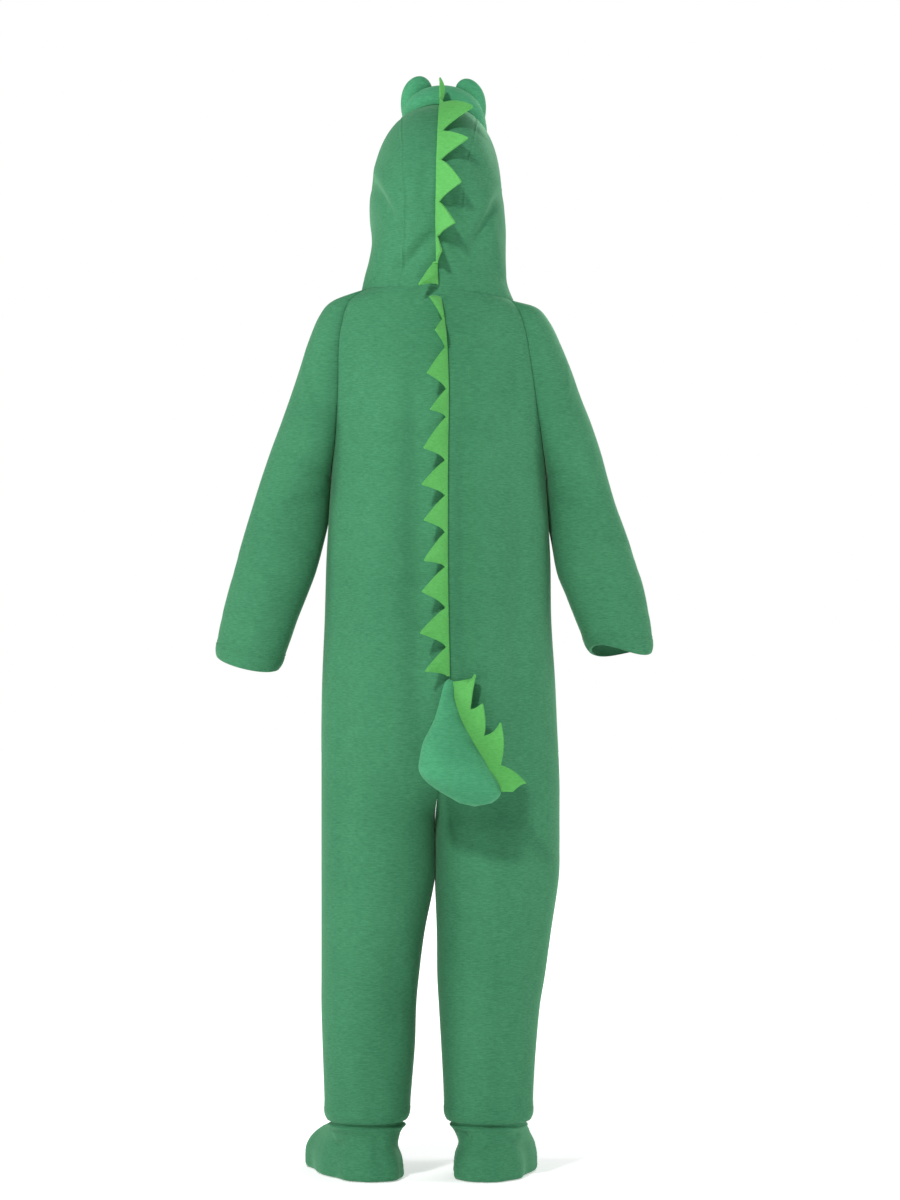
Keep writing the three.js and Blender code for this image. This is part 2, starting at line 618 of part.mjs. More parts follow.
// The tail's felt strip stands on its right-hand upper side, at a corner of its rings. Low is the
// height at which a tooth starts.
const TAIL_VALLEY = 14;
const TAIL_TEETH = table(
  ['start', 'end', 'tip', 'low', 'high', 'lean', 'outward', 'up'],
  [
    [0.1, 2.7, 0.44, 22, 34, -0.75, 0.3, 0.75],
    [2.7, 4, 0.4, TAIL_VALLEY, 35, -0.6, 0.3, 0.8],
    [4, 6.2, 0.2, TAIL_VALLEY, 44, -0.6, 0.3, 0.9],
    [6.2, 8.2, 0.75, TAIL_VALLEY, 32, -0.95, 0.3, 0.1],
  ],
);
const TAIL_STRIP_CORNER = 14;

function makeTailSpikes() {
  const turn = TAIL_STRIP_CORNER / TAIL_STEPS * 2 * Math.PI;
  const points = TAIL.map((_, row) => tailPoint(row, turn));
  const centres = TAIL.map((row) => vector(row.x, row.y, row.z));
  const stations = [];
  const addStation = (tooth, share) => {
    const place = tooth.start + (tooth.end - tooth.start) * share;
    const i = Math.min(points.length - 2, Math.floor(place));
    const point = points[i].clone().lerp(points[i + 1], place - i);
    const way = points[i + 1].clone().sub(points[i]).normalize();
    const out = point.clone().sub(centres[i].clone().lerp(centres[i + 1], place - i));
    out.addScaledVector(way, -out.dot(way)).normalize();
    const rise = share < 0.5 ? 2 * share : 2 - 2 * share;
    const length = points[Math.round(tooth.start)].distanceTo(points[Math.round(tooth.end)]);
    const lean = vector(tooth.lean, tooth.outward, tooth.up).lerp(out, 1 - rise).normalize();
    const sweep = way.clone().multiplyScalar((tooth.tip - 0.5) * length * rise);
    const low = share < 0.5 ? tooth.low : TAIL_VALLEY;
    stations.push({ point, out, lean, sweep, height: low + (tooth.high - low) * rise });
  };
  for (const tooth of TAIL_TEETH) {
    for (const share of toothShares(tooth, TAIL.map((_, row) => row))) addStation(tooth, share);
  }
  addStation(TAIL_TEETH[TAIL_TEETH.length - 1], 1);
  return makeStrip('spikes_tail', stations);
}

// The boot covers: loose half shells, sewn inside the leg hems and open below. Each row is a level
// with its reach behind and ahead of the ankle, its half width and its share of the foot's turn.
const BOOT = table(
  ['z', 'heel', 'toe', 'half', 'turn', 'full'],
  [
    [-952, 0, 0, 0, 0, 1],
    [-994, 0, 0, 0, 0, 1],
    [-998, 54, 67, 47, 0.15, 1],
    [-1002, 52, 88, 45, 0.45, 0.95],
    [-1009, 50, 116, 43, 0.8, 0.92],
    [-1022, 49, 146, 41, 1, 0.85],
    [-1036, 51, 156, 42, 1, 0.8],
    [-1049, 54, 159, 44, 1, 0.8],
    [-1060, 56, 160, 46, 1, 0.8],
  ],
);
const BOOT_SEWN_ROWS = 2;
const BOOT_STEPS = 10;
const FEET = { left: 19 * RADIANS, right: 10 * RADIANS };
const HEM_WAVE = 2.5;

// A point of a boot cover. u goes from the heel (0) round the given side to the toe (1).
function bootPoint(sideName, side, half, index, u) {
  const row = BOOT[index];
  const above = SUIT[SUIT.length - 2];
  const hem = SUIT[SUIT.length - 1];
  const share = (Math.max(row.z, hem.z) - above.z) / (hem.z - above.z);
  const mix = (column) => above[column] + (hem[column] - above[column]) * share;
  const outer = mix(side > 0 ? 'sideL' : 'sideR');
  const inner = mix(side > 0 ? 'innerL' : 'innerR');
  const centreX = (outer + inner) / 2;
  const angle = Math.PI * u;
  if (index < BOOT_SEWN_ROWS) {
    const inset = CLOTH + CLEARANCE;
    const radiusX = Math.abs(outer - inner) / 2 - inset;
    const radiusY = mix('legDepth') - inset;
    return vector(centreX + half * radiusX * Math.sin(angle), radiusY * Math.cos(angle), row.z);
  }
  const length = row.heel + row.toe;
  const lengthwise = (row.heel - row.toe) / 2 + length / 2 * signedPower(Math.cos(angle), row.full);
  const loose = (row.z - BOOT[BOOT_SEWN_ROWS].z) / (BOOT[BOOT.length - 1].z - BOOT[BOOT_SEWN_ROWS].z);
  const wave = HEM_WAVE * loose * Math.sin(9 * angle + half);
  const sideways = half * (row.half * Math.sin(angle) ** row.full + wave * Math.sin(angle));
  const turn = side * FEET[sideName] * row.turn;
  const x = centreX + sideways * Math.cos(turn) - lengthwise * Math.sin(turn);
  const y = lengthwise * Math.cos(turn) + sideways * Math.sin(turn);
  return vector(x, y, row.z);
}

// Each back panel runs from the neck to the hem. Each front is cut at the hip into an upper front
// and a front leg.
const SUIT_PANELS = [
  ['back', 1, 0, SUIT.length - 1],
  ['front', -1, 0, FRONT_SEAM_ROW],
  ['front_leg', -1, FRONT_SEAM_ROW, SUIT.length - 1],
];

const suit = new THREE.Group();

for (const [sideName, side] of [['left', 1], ['right', -1]]) {
  for (const [panelName, face, first, last] of SUIT_PANELS) {
    const rows = last - first + 1;
    const points = grid(rows, SUIT_COLUMNS, (row, u) => suitPoint(SUIT[first + row], side, face, u));
    addPanel(`${panelName}_${sideName}`, points, side * face);
  }
  const sleeveRows = SLEEVES.left.length;
  addPanel(`sleeve_${sideName}`, grid(sleeveRows, SLEEVE_STEPS, (row, u) => sleevePoint(side, row, u)), side);
  const crown = grid(HOOD_ROWS, CROWN_COLUMNS, (row, u) => (
    hoodPoint(row, side, u * hoodSeamAngle(row, side))));
  addPanel(`hood_crown_${sideName}`, crown, -side);
  const hoodSide = grid(HOOD_ROWS, HOOD_SIDE_COLUMNS, (row, u) => {
    const start = hoodSeamAngle(row, side);
    return hoodPoint(row, side, start + u * (hoodEdgeAngle(row) - start));
  });
  addPanel(`hood_side_${sideName}`, hoodSide, -side);
}
for (const panel of panels) panel.onNeck = !panel.name.startsWith('front_leg');

for (const [sideName, side] of [['left', 1], ['right', -1]]) {
  for (const [halfName, half] of [['outer', side], ['inner', -side]]) {
    const points = grid(BOOT.length, BOOT_STEPS, (row, u) => bootPoint(sideName, side, half, row, u));
    addPanel(`boot_${sideName}_${halfName}`, points, half);
  }
}
for (const mesh of sewPanels()) suit.add(mesh);

suit.add(makeBrow());
for (const eye of EYES) suit.add(makeEye(eye));
suit.add(makeHoodSpikes());
suit.add(makeBackSpikes());
suit.add(makeTail());
suit.add(makeTailSpikes());

export default suit;
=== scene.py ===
import bpy
import numpy as np
from mathutils import Euler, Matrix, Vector


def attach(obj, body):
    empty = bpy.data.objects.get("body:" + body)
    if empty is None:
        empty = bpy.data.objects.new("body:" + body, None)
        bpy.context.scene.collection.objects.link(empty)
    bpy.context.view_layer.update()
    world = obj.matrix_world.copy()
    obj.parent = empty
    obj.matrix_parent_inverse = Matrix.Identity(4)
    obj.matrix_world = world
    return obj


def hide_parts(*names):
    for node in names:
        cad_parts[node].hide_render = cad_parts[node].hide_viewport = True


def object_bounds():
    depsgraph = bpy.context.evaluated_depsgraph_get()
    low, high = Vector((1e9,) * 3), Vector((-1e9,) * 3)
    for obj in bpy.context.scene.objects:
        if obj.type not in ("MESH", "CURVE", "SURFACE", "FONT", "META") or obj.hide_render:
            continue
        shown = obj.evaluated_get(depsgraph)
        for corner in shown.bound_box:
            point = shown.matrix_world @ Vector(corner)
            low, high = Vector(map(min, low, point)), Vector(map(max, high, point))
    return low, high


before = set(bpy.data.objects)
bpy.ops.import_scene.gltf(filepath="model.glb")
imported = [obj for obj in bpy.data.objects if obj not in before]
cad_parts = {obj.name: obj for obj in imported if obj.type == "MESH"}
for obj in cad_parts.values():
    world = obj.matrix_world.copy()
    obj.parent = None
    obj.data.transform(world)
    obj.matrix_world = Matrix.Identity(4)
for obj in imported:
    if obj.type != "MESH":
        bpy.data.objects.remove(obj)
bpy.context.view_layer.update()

# The camera stands five metres behind the suit, level with the middle of the picture.
# One picture pixel is 1.2 mm at the suit, and the frame is 1200 pixels high.
pixel = 0.0012
frame_height = 1200 * pixel
camera_distance = 5.0
picture_centre = (-0.0144, -0.3684)
camera_data = bpy.data.cameras.new("camera")
camera_data.sensor_width = 36
camera_data.lens = 36 * camera_distance / frame_height
camera = bpy.data.objects.new("camera", camera_data)
camera.location = (picture_centre[0], camera_distance, picture_centre[1])
camera.rotation_euler = Euler((np.pi / 2, 0, np.pi))
bpy.context.scene.collection.objects.link(camera)
bpy.context.scene.camera = camera

class Value:
    """An output of a material's nodes. Sums, differences and products of two add Math nodes."""

    def __init__(self, socket):
        self.socket = socket

    def node(self, kind, settings, inputs, output=0):
        """Adds a node of that kind, sets it, then gives its inputs their values or links."""
        tree = self.socket.id_data
        added = tree.nodes.new(kind)
        for name, setting in settings.items():
            setattr(added, name, setting)
        for key, value in inputs.items():
            if isinstance(value, Value):
                tree.links.new(value.socket, added.inputs[key])
            else:
                added.inputs[key].default_value = value
        return Value(added.outputs[output])

    def math(self, operation, first, second):
        return self.node("ShaderNodeMath", {"operation": operation}, {0: first, 1: second})

    def __add__(self, other):
        return self.math("ADD", self, other)

    def __sub__(self, other):
        return self.math("SUBTRACT", self, other)

    def __rsub__(self, other):
        return self.math("SUBTRACT", other, self)

    def __mul__(self, other):
        return self.math("MULTIPLY", self, other)

    __radd__ = __add__
    __rmul__ = __mul__

    def noise(self, scale, detail=2.0, roughness=0.5):
        """Noise over the object's own coordinates, from 0 to 1, with features of 1 / scale metres."""
        return self.node("ShaderNodeTexNoise", {},
                         {"Vector": self, "Scale": scale, "Detail": detail, "Roughness": roughness})

    def stretched(self, scale):
        """These coordinates times a scale for each axis."""
        return self.node("ShaderNodeVectorMath", {"operation": "MULTIPLY"}, {0: self, 1: scale})

    def between(self, dark, light):
        """A colour from dark, where this is 0, to light, where it is 1."""
        settings = {"data_type": "RGBA", "clamp_factor": True}
        return self.node("ShaderNodeMix", settings, {0: self, 6: (*dark, 1), 7: (*light, 1)}, output=2)


# The floor is a plain white sheet just under the boot covers. It glows a little, and more so
# further out, so that it is as white there as the walls.
floor_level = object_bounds()[0][2] - 0.0005
floor_half = 14.0
floor_mesh = bpy.data.meshes.new("floor")
floor_corners = [(-floor_half, -floor_half, floor_level), (floor_half, -floor_half, floor_level),
                 (floor_half, floor_half, floor_level), (-floor_half, floor_half, floor_level)]
floor_mesh.from_pydata(floor_corners, [], [(0, 1, 2, 3)])
floor = bpy.data.objects.new("floor", floor_mesh)
bpy.context.scene.collection.objects.link(floor)
floor_material = bpy.data.materials.new("floor")
floor_material.use_nodes = True
floor_nodes = floor_material.node_tree.nodes
floor_shader = floor_nodes["Principled BSDF"]
floor_shader.inputs["Base Color"].default_value = (0.85, 0.85, 0.85, 1)
floor_shader.inputs["Roughness"].default_value = 0.9
floor_shader.inputs["Emission Strength"].default_value = 1.0
floor_place = Value(floor_nodes.new("ShaderNodeTexCoord").outputs["Object"])
length_maths = {"operation": "LENGTH"}
floor_distance = floor_place.node("ShaderNodeVectorMath", length_maths, {0: floor_place}, output=1)
glow = (floor_distance * 0.15 + 0.22).between((0, 0, 0), (1, 1, 1))
floor_material.node_tree.links.new(glow.socket, floor_shader.inputs["Emission Color"])
floor_mesh.materials.append(floor_material)

# The studio's walls are seen white, and light the suit more weakly than the lamps do.
world = bpy.data.worlds.new("studio")
world.use_nodes = True
background = world.node_tree.nodes["Background"]
background.inputs["Color"].default_value = (1, 1, 1, 1)
seen = Value(world.node_tree.nodes.new("ShaderNodeLightPath").outputs["Is Camera Ray"])
world.node_tree.links.new((seen * 0.77 + 0.23).socket, background.inputs["Strength"])
bpy.context.scene.world = world
bpy.context.scene.view_settings.view_transform = "Standard"


def soft_light(name, place, size, power):
    """A square area light that points at the middle of the suit."""
    data = bpy.data.lights.new(name, "AREA")
    data.size = size
    data.energy = power
    light = bpy.data.objects.new(name, data)
    light.location = place
    aim = Vector((0, 0, -0.45)) - Vector(place)
    light.rotation_euler = aim.to_track_quat("-Z", "Y").to_euler()
    bpy.context.scene.collection.objects.link(light)


soft_light("key", (1.3, 3.7, 2.5), 0.4, 160)
soft_light("left", (3.6, 0.5, 0.5), 1.2, 52)
soft_light("right", (-3.6, 0.1, 0.5), 1.2, 50)
soft_light("front", (-1.5, -3.5, 1.6), 2.5, 90)

# The body of the suit is green polyester fleece, 2 mm thick, cut as a left and a right back and a
# left and a right front, each from the neck to the ankle. The backs meet at the centre-back seam,
# and the fronts close edge to edge in the middle.
cloth_thickness = 0.002
mm = 0.001


def named_rows(names, rows):
    """A table as one array for each column name."""
    return dict(zip(names.split(), np.array(rows, float).T))


def along(column, place):
    """A column's value at fractional rows: a cubic through the rows, whose slope at each row is half
    the step between its neighbours."""
    last = len(column) - 1
    row = np.clip(np.floor(place).astype(int), 0, last - 1)
    t = (place - row).reshape(place.shape + (1,) * (column.ndim - 1))
    before = column[np.clip(row - 1, 0, last)]
    start = column[row]
    end = column[row + 1]
    after = column[np.clip(row + 2, 0, last)]
    slope_start = (end - before) / 2
    slope_end = (after - start) / 2
    return (start * (2 * t**3 - 3 * t**2 + 1) + end * (3 * t**2 - 2 * t**3)
            + slope_start * (t**3 - 2 * t**2 + t) + slope_end * (t**3 - t**2))


# Each row is one level of the suit, in millimetres: the centre seam, the side seams, the depth
# behind and in front, the raglan seams, the share of the legs, and the inner edges of the legs,
# which press into each other at the thighs.
suit = named_rows(
    "z tilt seam side_left side_right back front raglan_left raglan_right leg "
    "inner_left inner_right leg_depth",
    [
        (-6, 1, 0, 92, -92, 80, 80, 86, -86, 0, 3.5, 3.5, 86),
        (-22, 0.9, -4, 118, -114, 84, 85, 106, -97, 0, 3.5, 3.5, 86),
        (-49, 0.75, -8, 130, -126, 90, 90, 115, -105, 0, 3.5, 3.5, 86),
        (-76, 0.6, -10.5, 134, -131, 95, 94, 118.5, -109.5, 0, 3.5, 3.5, 86),
        (-114, 0.4, -12, 134, -134, 100, 97, 119, -115, 0, 3.5, 3.5, 86),
        (-145, 0.25, -12, 133, -134, 102, 98, 120.5, -119, 0, 3.5, 3.5, 86),
        (-178, 0.1, -11.5, 131, -132, 103, 98, 122.5, -124, 0, 3.5, 3.5, 86),
        (-220, 0, -11, 128.5, -129.5, 104, 98, 128.5, -129.5, 0, 3.5, 3.5, 86),
        (-268, 0, -11, 131, -132, 104, 98, 131, -132, 0, 3.5, 3.5, 86),
        (-322, 0, -11, 134, -135, 104, 98, 134, -135, 0, 3.5, 3.5, 86),
        (-392, 0, -12, 136, -136, 104, 98, 136, -136, 0, 3.5, 3.5, 86),
        (-464, 0, -13.5, 139, -140.5, 105, 98, 139, -140.5, 0, 3.5, 3.5, 86),
        (-520, 0, -13.5, 140, -143, 106, 97, 140, -143, 0, 3.5, 3.5, 86),
        (-560, 0, -10, 140, -145, 105, 96, 140, -145, 0.12, 3.5, 3.5, 86),
        (-590, 0, -5, 140, -146, 103, 95, 140, -146, 0.35, 3.5, 3.5, 86),
        (-616, 0, 0, 140, -146, 101, 94, 140, -146, 0.68, 3.5, 3.5, 86),
        (-640, 0, 3.5, 140, -146, 98, 93, 140, -146, 1, 3.1, 3.9, 86),
        (-662, 0, 3.5, 140, -146, 98, 93, 140, -146, 1, 3, 4, 85),
        (-702, 0, 3.5, 140, -145, 98, 93, 140, -145, 1, 3.5, 4, 82),
        (-764, 0, 3.5, 140, -136, 98, 93, 140, -136, 1, 15.5, 1.8, 77),
        (-818, 0, 3.5, 140, -128.5, 98, 93, 140, -128.5, 1, 22.5, 1.2, 72),
        (-854, 0, 3.5, 140, -122.5, 98, 93, 140, -122.5, 1, 25.8, -0.8, 69),
        (-901, 0, 3.5, 138.6, -118, 98, 93, 138.6, -118, 1, 27.4, -3.6, 65),
        (-946, 0, 3.5, 137, -115, 98, 93, 137, -115, 1, 31, -6, 61),
        (-992, 0, 3.5, 135.5, -113.5, 98, 93, 135.5, -113.5, 1, 35, -8, 57),
    ],
)
neck_lean = 0.073
neck_slope = 0.08
fold_strength = 1.6

# The soft folds, in millimetres: a trough is negative and a ridge positive. The slant is how far a
# fold moves sideways from its top to its bottom.
folds = named_rows(
    "x slant width top bottom deep face",
    [
        (24, -4, 17, -40, -610, -4.5, 1),
        (-30, 3, 13, -20, -560, -4.5, 1),
        (-58, -6, 17, -60, -700, 3, 1),
        (-96, 4, 14, -150, -640, -4, 1),
        (112, 3, 13, -260, -900, -4, 1),
        (72, 5, 22, -160, -520, 2.5, 1),
        (52, 12, 15, -740, -942, -4, 1),
        (-98, -4, 12, -770, -942, 4, 1),
        (40, 6, 18, -100, -600, -3.5, -1),
        (-46, -5, 18, -140, -640, -3.5, -1),
        (88, 6, 16, -300, -880, -4, -1),
        (-92, -6, 16, -260, -760, 3.5, -1),
        (33, -16, 8, -812, -905, -2.4, 1),
        (60, 30, 11, -625, -760, 1.8, 1),
        (-45, -34, 12, -632, -770, -1.8, 1),
        (-118, 8, 9, -560, -820, -2, 1),
        (96, -14, 10, -70, -210, -1.8, 1),
        (-92, 12, 9, -60, -190, -1.6, 1),
        (58, 34, 10, -620, -740, -2.2, -1),
        (-52, -36, 10, -630, -760, -2.2, -1),
        (100, -10, 9, -560, -800, 1.8, -1),
        (-20, -6, 10, -360, -560, 1.5, -1),
    ],
)


def fold_height(x, z, face):
    """The sum of the folds at a place: each is a soft bump across, and half a sine wave along."""
    total = np.zeros_like(x)
    for k in np.flatnonzero(folds["face"] == face):
        length = np.clip((folds["top"][k] - z) / (folds["top"][k] - folds["bottom"][k]), 0, 1)
        middle = folds["x"][k] + folds["slant"][k] * (length - 0.5)
        across = (x - middle) / folds["width"][k]
        total += folds["deep"][k] * np.exp(-across**2) * np.sin(np.pi * length)
    return total * fold_strength


def suit_points(place, side, face, u):
    """A point of the suit: an ellipse from the centre seam to the side or raglan seam, which turns
    into half an ellipse round each leg as the leg share goes from 0 to 1, moved by the folds."""
    value = {name: along(column, place) for name, column in suit.items()}
    end = "left" if side > 0 else "right"
    outer = value["side_" + end]
    inner = value["inner_" + end]
    depth = value["back" if face > 0 else "front"]
    leg = np.clip(value["leg"], 0, 1)
    share = np.clip((value["raglan_" + end] - value["seam"]) / (outer - value["seam"]), 0, 1)
    turn = np.arcsin(share) * u
    body_x = value["seam"] + (outer - value["seam"]) * np.sin(turn)
    body_y = depth * np.cos(turn)
    leg_x = (outer + inner) / 2 - (outer - inner) / 2 * np.cos(np.pi * u)
    leg_y = value["leg_depth"] * np.sin(np.pi * u)
    x = body_x + (leg_x - body_x) * leg
    level = body_y + (leg_y - body_y) * leg
    calm = np.clip(level / 40, 0, 1)
    y = face * (level + calm * fold_height(x, value["z"], face))
    z = value["z"] + value["tilt"] * (neck_lean * x + neck_slope * y)
    return np.stack([x, y, z], -1) * mm


def grid_normals(points):
    """Unit normals of a grid of points: its tangent across, times its tangent down."""
    normal = np.cross(np.gradient(points, axis=1), np.gradient(points, axis=0))
    return normal / np.maximum(np.linalg.norm(normal, axis=-1, keepdims=True), 1e-12)


def edge_distances(points):
    """How far each point of a grid lies from the first and last column and the first and last row,
    measured along the cloth."""
    across = np.linalg.norm(np.diff(points, axis=1), axis=-1)
    down = np.linalg.norm(np.diff(points, axis=0), axis=-1)
    from_left = np.pad(np.cumsum(across, axis=1), ((0, 0), (1, 0)))
    from_top = np.pad(np.cumsum(down, axis=0), ((1, 0), (0, 0)))
    return {"left": from_left, "right": from_left[:, -1:] - from_left,
            "top": from_top, "bottom": from_top[-1:] - from_top}


def grid_faces(rows, columns, start=0, closed=False):
    """The four-cornered faces of a grid, as rows of vertex numbers."""
    r, c = np.meshgrid(np.arange(rows - 1), np.arange(columns if closed else columns - 1), indexing="ij")
    after = (c + 1) % columns
    corners = [r * columns + c, (r + 1) * columns + c, (r + 1) * columns + after, r * columns + after]
    return np.stack(corners, -1).reshape(-1, 4) + start


def finer_end(last, count, end_length, end_count):
    """Numbers from 0 to last in even steps, with smaller steps over the end length."""
    coarse = np.linspace(0, last - end_length, count - end_count)
    return np.concatenate([coarse, np.linspace(last - end_length, last, end_count + 1)[1:]])


sharp_angle = 0.9


def make_mesh(name, points, faces, material):
    """A smooth-shaded mesh object from arrays of points and faces, which rides on the suit."""
    mesh = bpy.data.meshes.new(name)
    mesh.from_pydata(points.tolist(), [], [face.tolist() for face in faces])
    mesh.polygons.foreach_set("use_smooth", np.ones(len(mesh.polygons), bool))
    mesh.set_sharp_from_angle(angle=sharp_angle)
    mesh.materials.append(material)
    mesh.update()
    piece = bpy.data.objects.new(name, mesh)
    bpy.context.scene.collection.objects.link(piece)
    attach(piece, "root")
    return piece


def shell_mesh(name, outside, inside, material):
    """A closed wall between two grids of the same size."""
    rows, columns = outside.shape[:2]
    count = rows * columns
    outer = grid_faces(rows, columns)
    inner = outer[:, ::-1] + count
    ring = np.concatenate([np.arange(columns), np.arange(1, rows) * columns + columns - 1,
                           (rows - 1) * columns + np.arange(columns - 2, -1, -1),
                           np.arange(rows - 2, 0, -1) * columns])
    after = np.roll(ring, -1)
    edge = np.stack([ring, after, after + count, ring + count], -1)
    points = np.concatenate([outside.reshape(-1, 3), inside.reshape(-1, 3)])
    faces = np.concatenate([outer, inner, edge])
    corners = points[faces]
    diagonals = np.cross(corners[:, 2] - corners[:, 0], corners[:, 3] - corners[:, 1])
    if np.sum(corners.mean(1) * diagonals) < 0:
        faces = faces[:, ::-1]
    return make_mesh(name, points, faces, material)


def declare_sheet(points):
    """Works out the two diagonals of each cell of a panel, and keeps nothing of them."""
    first = points[1:, 1:] - points[:-1, :-1]
    second = points[1:, :-1] - points[:-1, 1:]


seam_depth = 0.3 * mm
seam_width = 1.5 * mm
# A ridge is the fold of a seam that stands up, with a groove beside it.
ridge_rise, ridge_width = 0.5 * mm, 1.2 * mm
groove_place, groove_depth, groove_width = 3 * mm, 0.4 * mm, 1.5 * mm
hem_width = 20 * mm
hem_rise = 0.9 * mm
hem_round = 1.6 * mm
hem_curl_width = 12 * mm
hem_step_width = 1.2 * mm
stitch_place = hem_width - 2 * mm
stitch_depth = 0.7 * mm
stitch_width = 1.2 * mm
# The lines of the hems that are stitched, as points and their normals.
stitch_lines = []


def sew_panel(name, points, facing, seams, hems, nodes, material, curl=0.0, ridges=()):
    """The wall of one cloth panel. Its outside sinks in a soft groove along each seam, and stands
    up in a thin line along each ridge. It stands out over each turned hem, with a groove where the
    hem is stitched, and ends in a round edge. With a curl, the hem also turns inwards by that
    much and gets a line of stitches."""
    distance = edge_distances(points)
    relief = np.zeros(points.shape[:2])
    inward = np.zeros(points.shape[:2])
    for edge in seams:
        relief -= seam_depth * np.exp(-(distance[edge] / seam_width) ** 2)
    for edge in ridges:
        relief += ridge_rise * np.exp(-(distance[edge] / ridge_width) ** 2)
        relief -= groove_depth * np.exp(-((distance[edge] - groove_place) / groove_width) ** 2)
    for edge in hems:
        relief += hem_rise * (1 - np.tanh((distance[edge] - hem_width) / hem_step_width)) / 2
        relief -= stitch_depth * np.exp(-((distance[edge] - stitch_place) / stitch_width) ** 2)
        relief -= hem_round * np.clip(1 - distance[edge] / hem_round, 0, 1) ** 2
        inward += curl * np.clip(1 - distance[edge] / hem_curl_width, 0, 1) ** 2
    normal = facing * grid_normals(points)
    points = points - normal * inward[..., None]
    outside = points + normal * relief[..., None]
    if curl:
        row = np.argmin(np.abs(distance["bottom"].mean(axis=1) - stitch_place))
        stitch_lines.append((outside[row], normal[row]))
    inside = points - normal * cloth_thickness
    piece = shell_mesh(name, outside, inside, material)
    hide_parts(*nodes)
    declare_sheet(points)
    return piece


def linear(colour):
    """A display colour of 0 to 255 as the linear colour that a shader takes."""
    share = np.array(colour) / 255
    return tuple(np.where(share <= 0.04045, share / 12.92, ((share + 0.055) / 1.055) ** 2.4).tolist())


def cloth_material(name, dark, light, nap_size, nap_height, sheen):
    """Brushed cloth: a fine nap and a faint knit in the height, and the same nap, wider rubbed
    patches and the knit in the colour."""
    material = bpy.data.materials.new(name)
    material.use_nodes = True
    tree = material.node_tree
    shader = tree.nodes["Principled BSDF"]
    place = Value(tree.nodes.new("ShaderNodeTexCoord").outputs["Object"])
    nap = place.noise(1 / nap_size, detail=3.0, roughness=0.6)
    knit = place.stretched((1, 1, 5)).noise(0.12 / nap_size, detail=2.0)
    patches = place.noise(9, detail=2.0)
    rubbed = place.noise(60, detail=2.0)
    tone = nap * 0.7 + knit * 0.7 + patches * 0.25 + rubbed * 0.15 - 0.4
    colour = tone.between(linear(dark), linear(light))
    tree.links.new(colour.socket, shader.inputs["Base Color"])
    shader.inputs["Roughness"].default_value = 0.92
    shader.inputs["Specular IOR Level"].default_value = 0.12
    shader.inputs["Sheen Weight"].default_value = sheen
    shader.inputs["Sheen Roughness"].default_value = 0.35
    shader.inputs["Sheen Tint"].default_value = (*linear((150, 205, 165)), 1)
    height = nap * 0.7 + knit * 0.6 + rubbed * 0.4
    bump = height.node("ShaderNodeBump", {}, {"Height": height, "Strength": 0.5, "Distance": nap_height})
    tree.links.new(bump.socket, shader.inputs["Normal"])
    return material


fleece = cloth_material("fleece_green", (34, 92, 62), (76, 142, 103), 0.8 * mm, 0.4 * mm, 0.4)

panel_rows = 260
panel_columns = 46
suit_last = len(suit["z"]) - 1
for side, side_name in ((1, "left"), (-1, "right")):
    for face, face_name in ((1, "back"), (-1, "front")):
        u, place = np.meshgrid(np.linspace(0, 1, panel_columns), finer_end(suit_last, panel_rows, 0.5, 26))
        points = suit_points(place, side, face, u)
        facing = side * face
        nodes = [f"{face_name}_{side_name}"]
        if face < 0:
            nodes.append(f"front_leg_{side_name}")
        seams = ("left", "right", "top")
        sew_panel(nodes[0] + "_cloth", points, facing, seams, ("bottom",), nodes, fleece, curl=4 * mm)

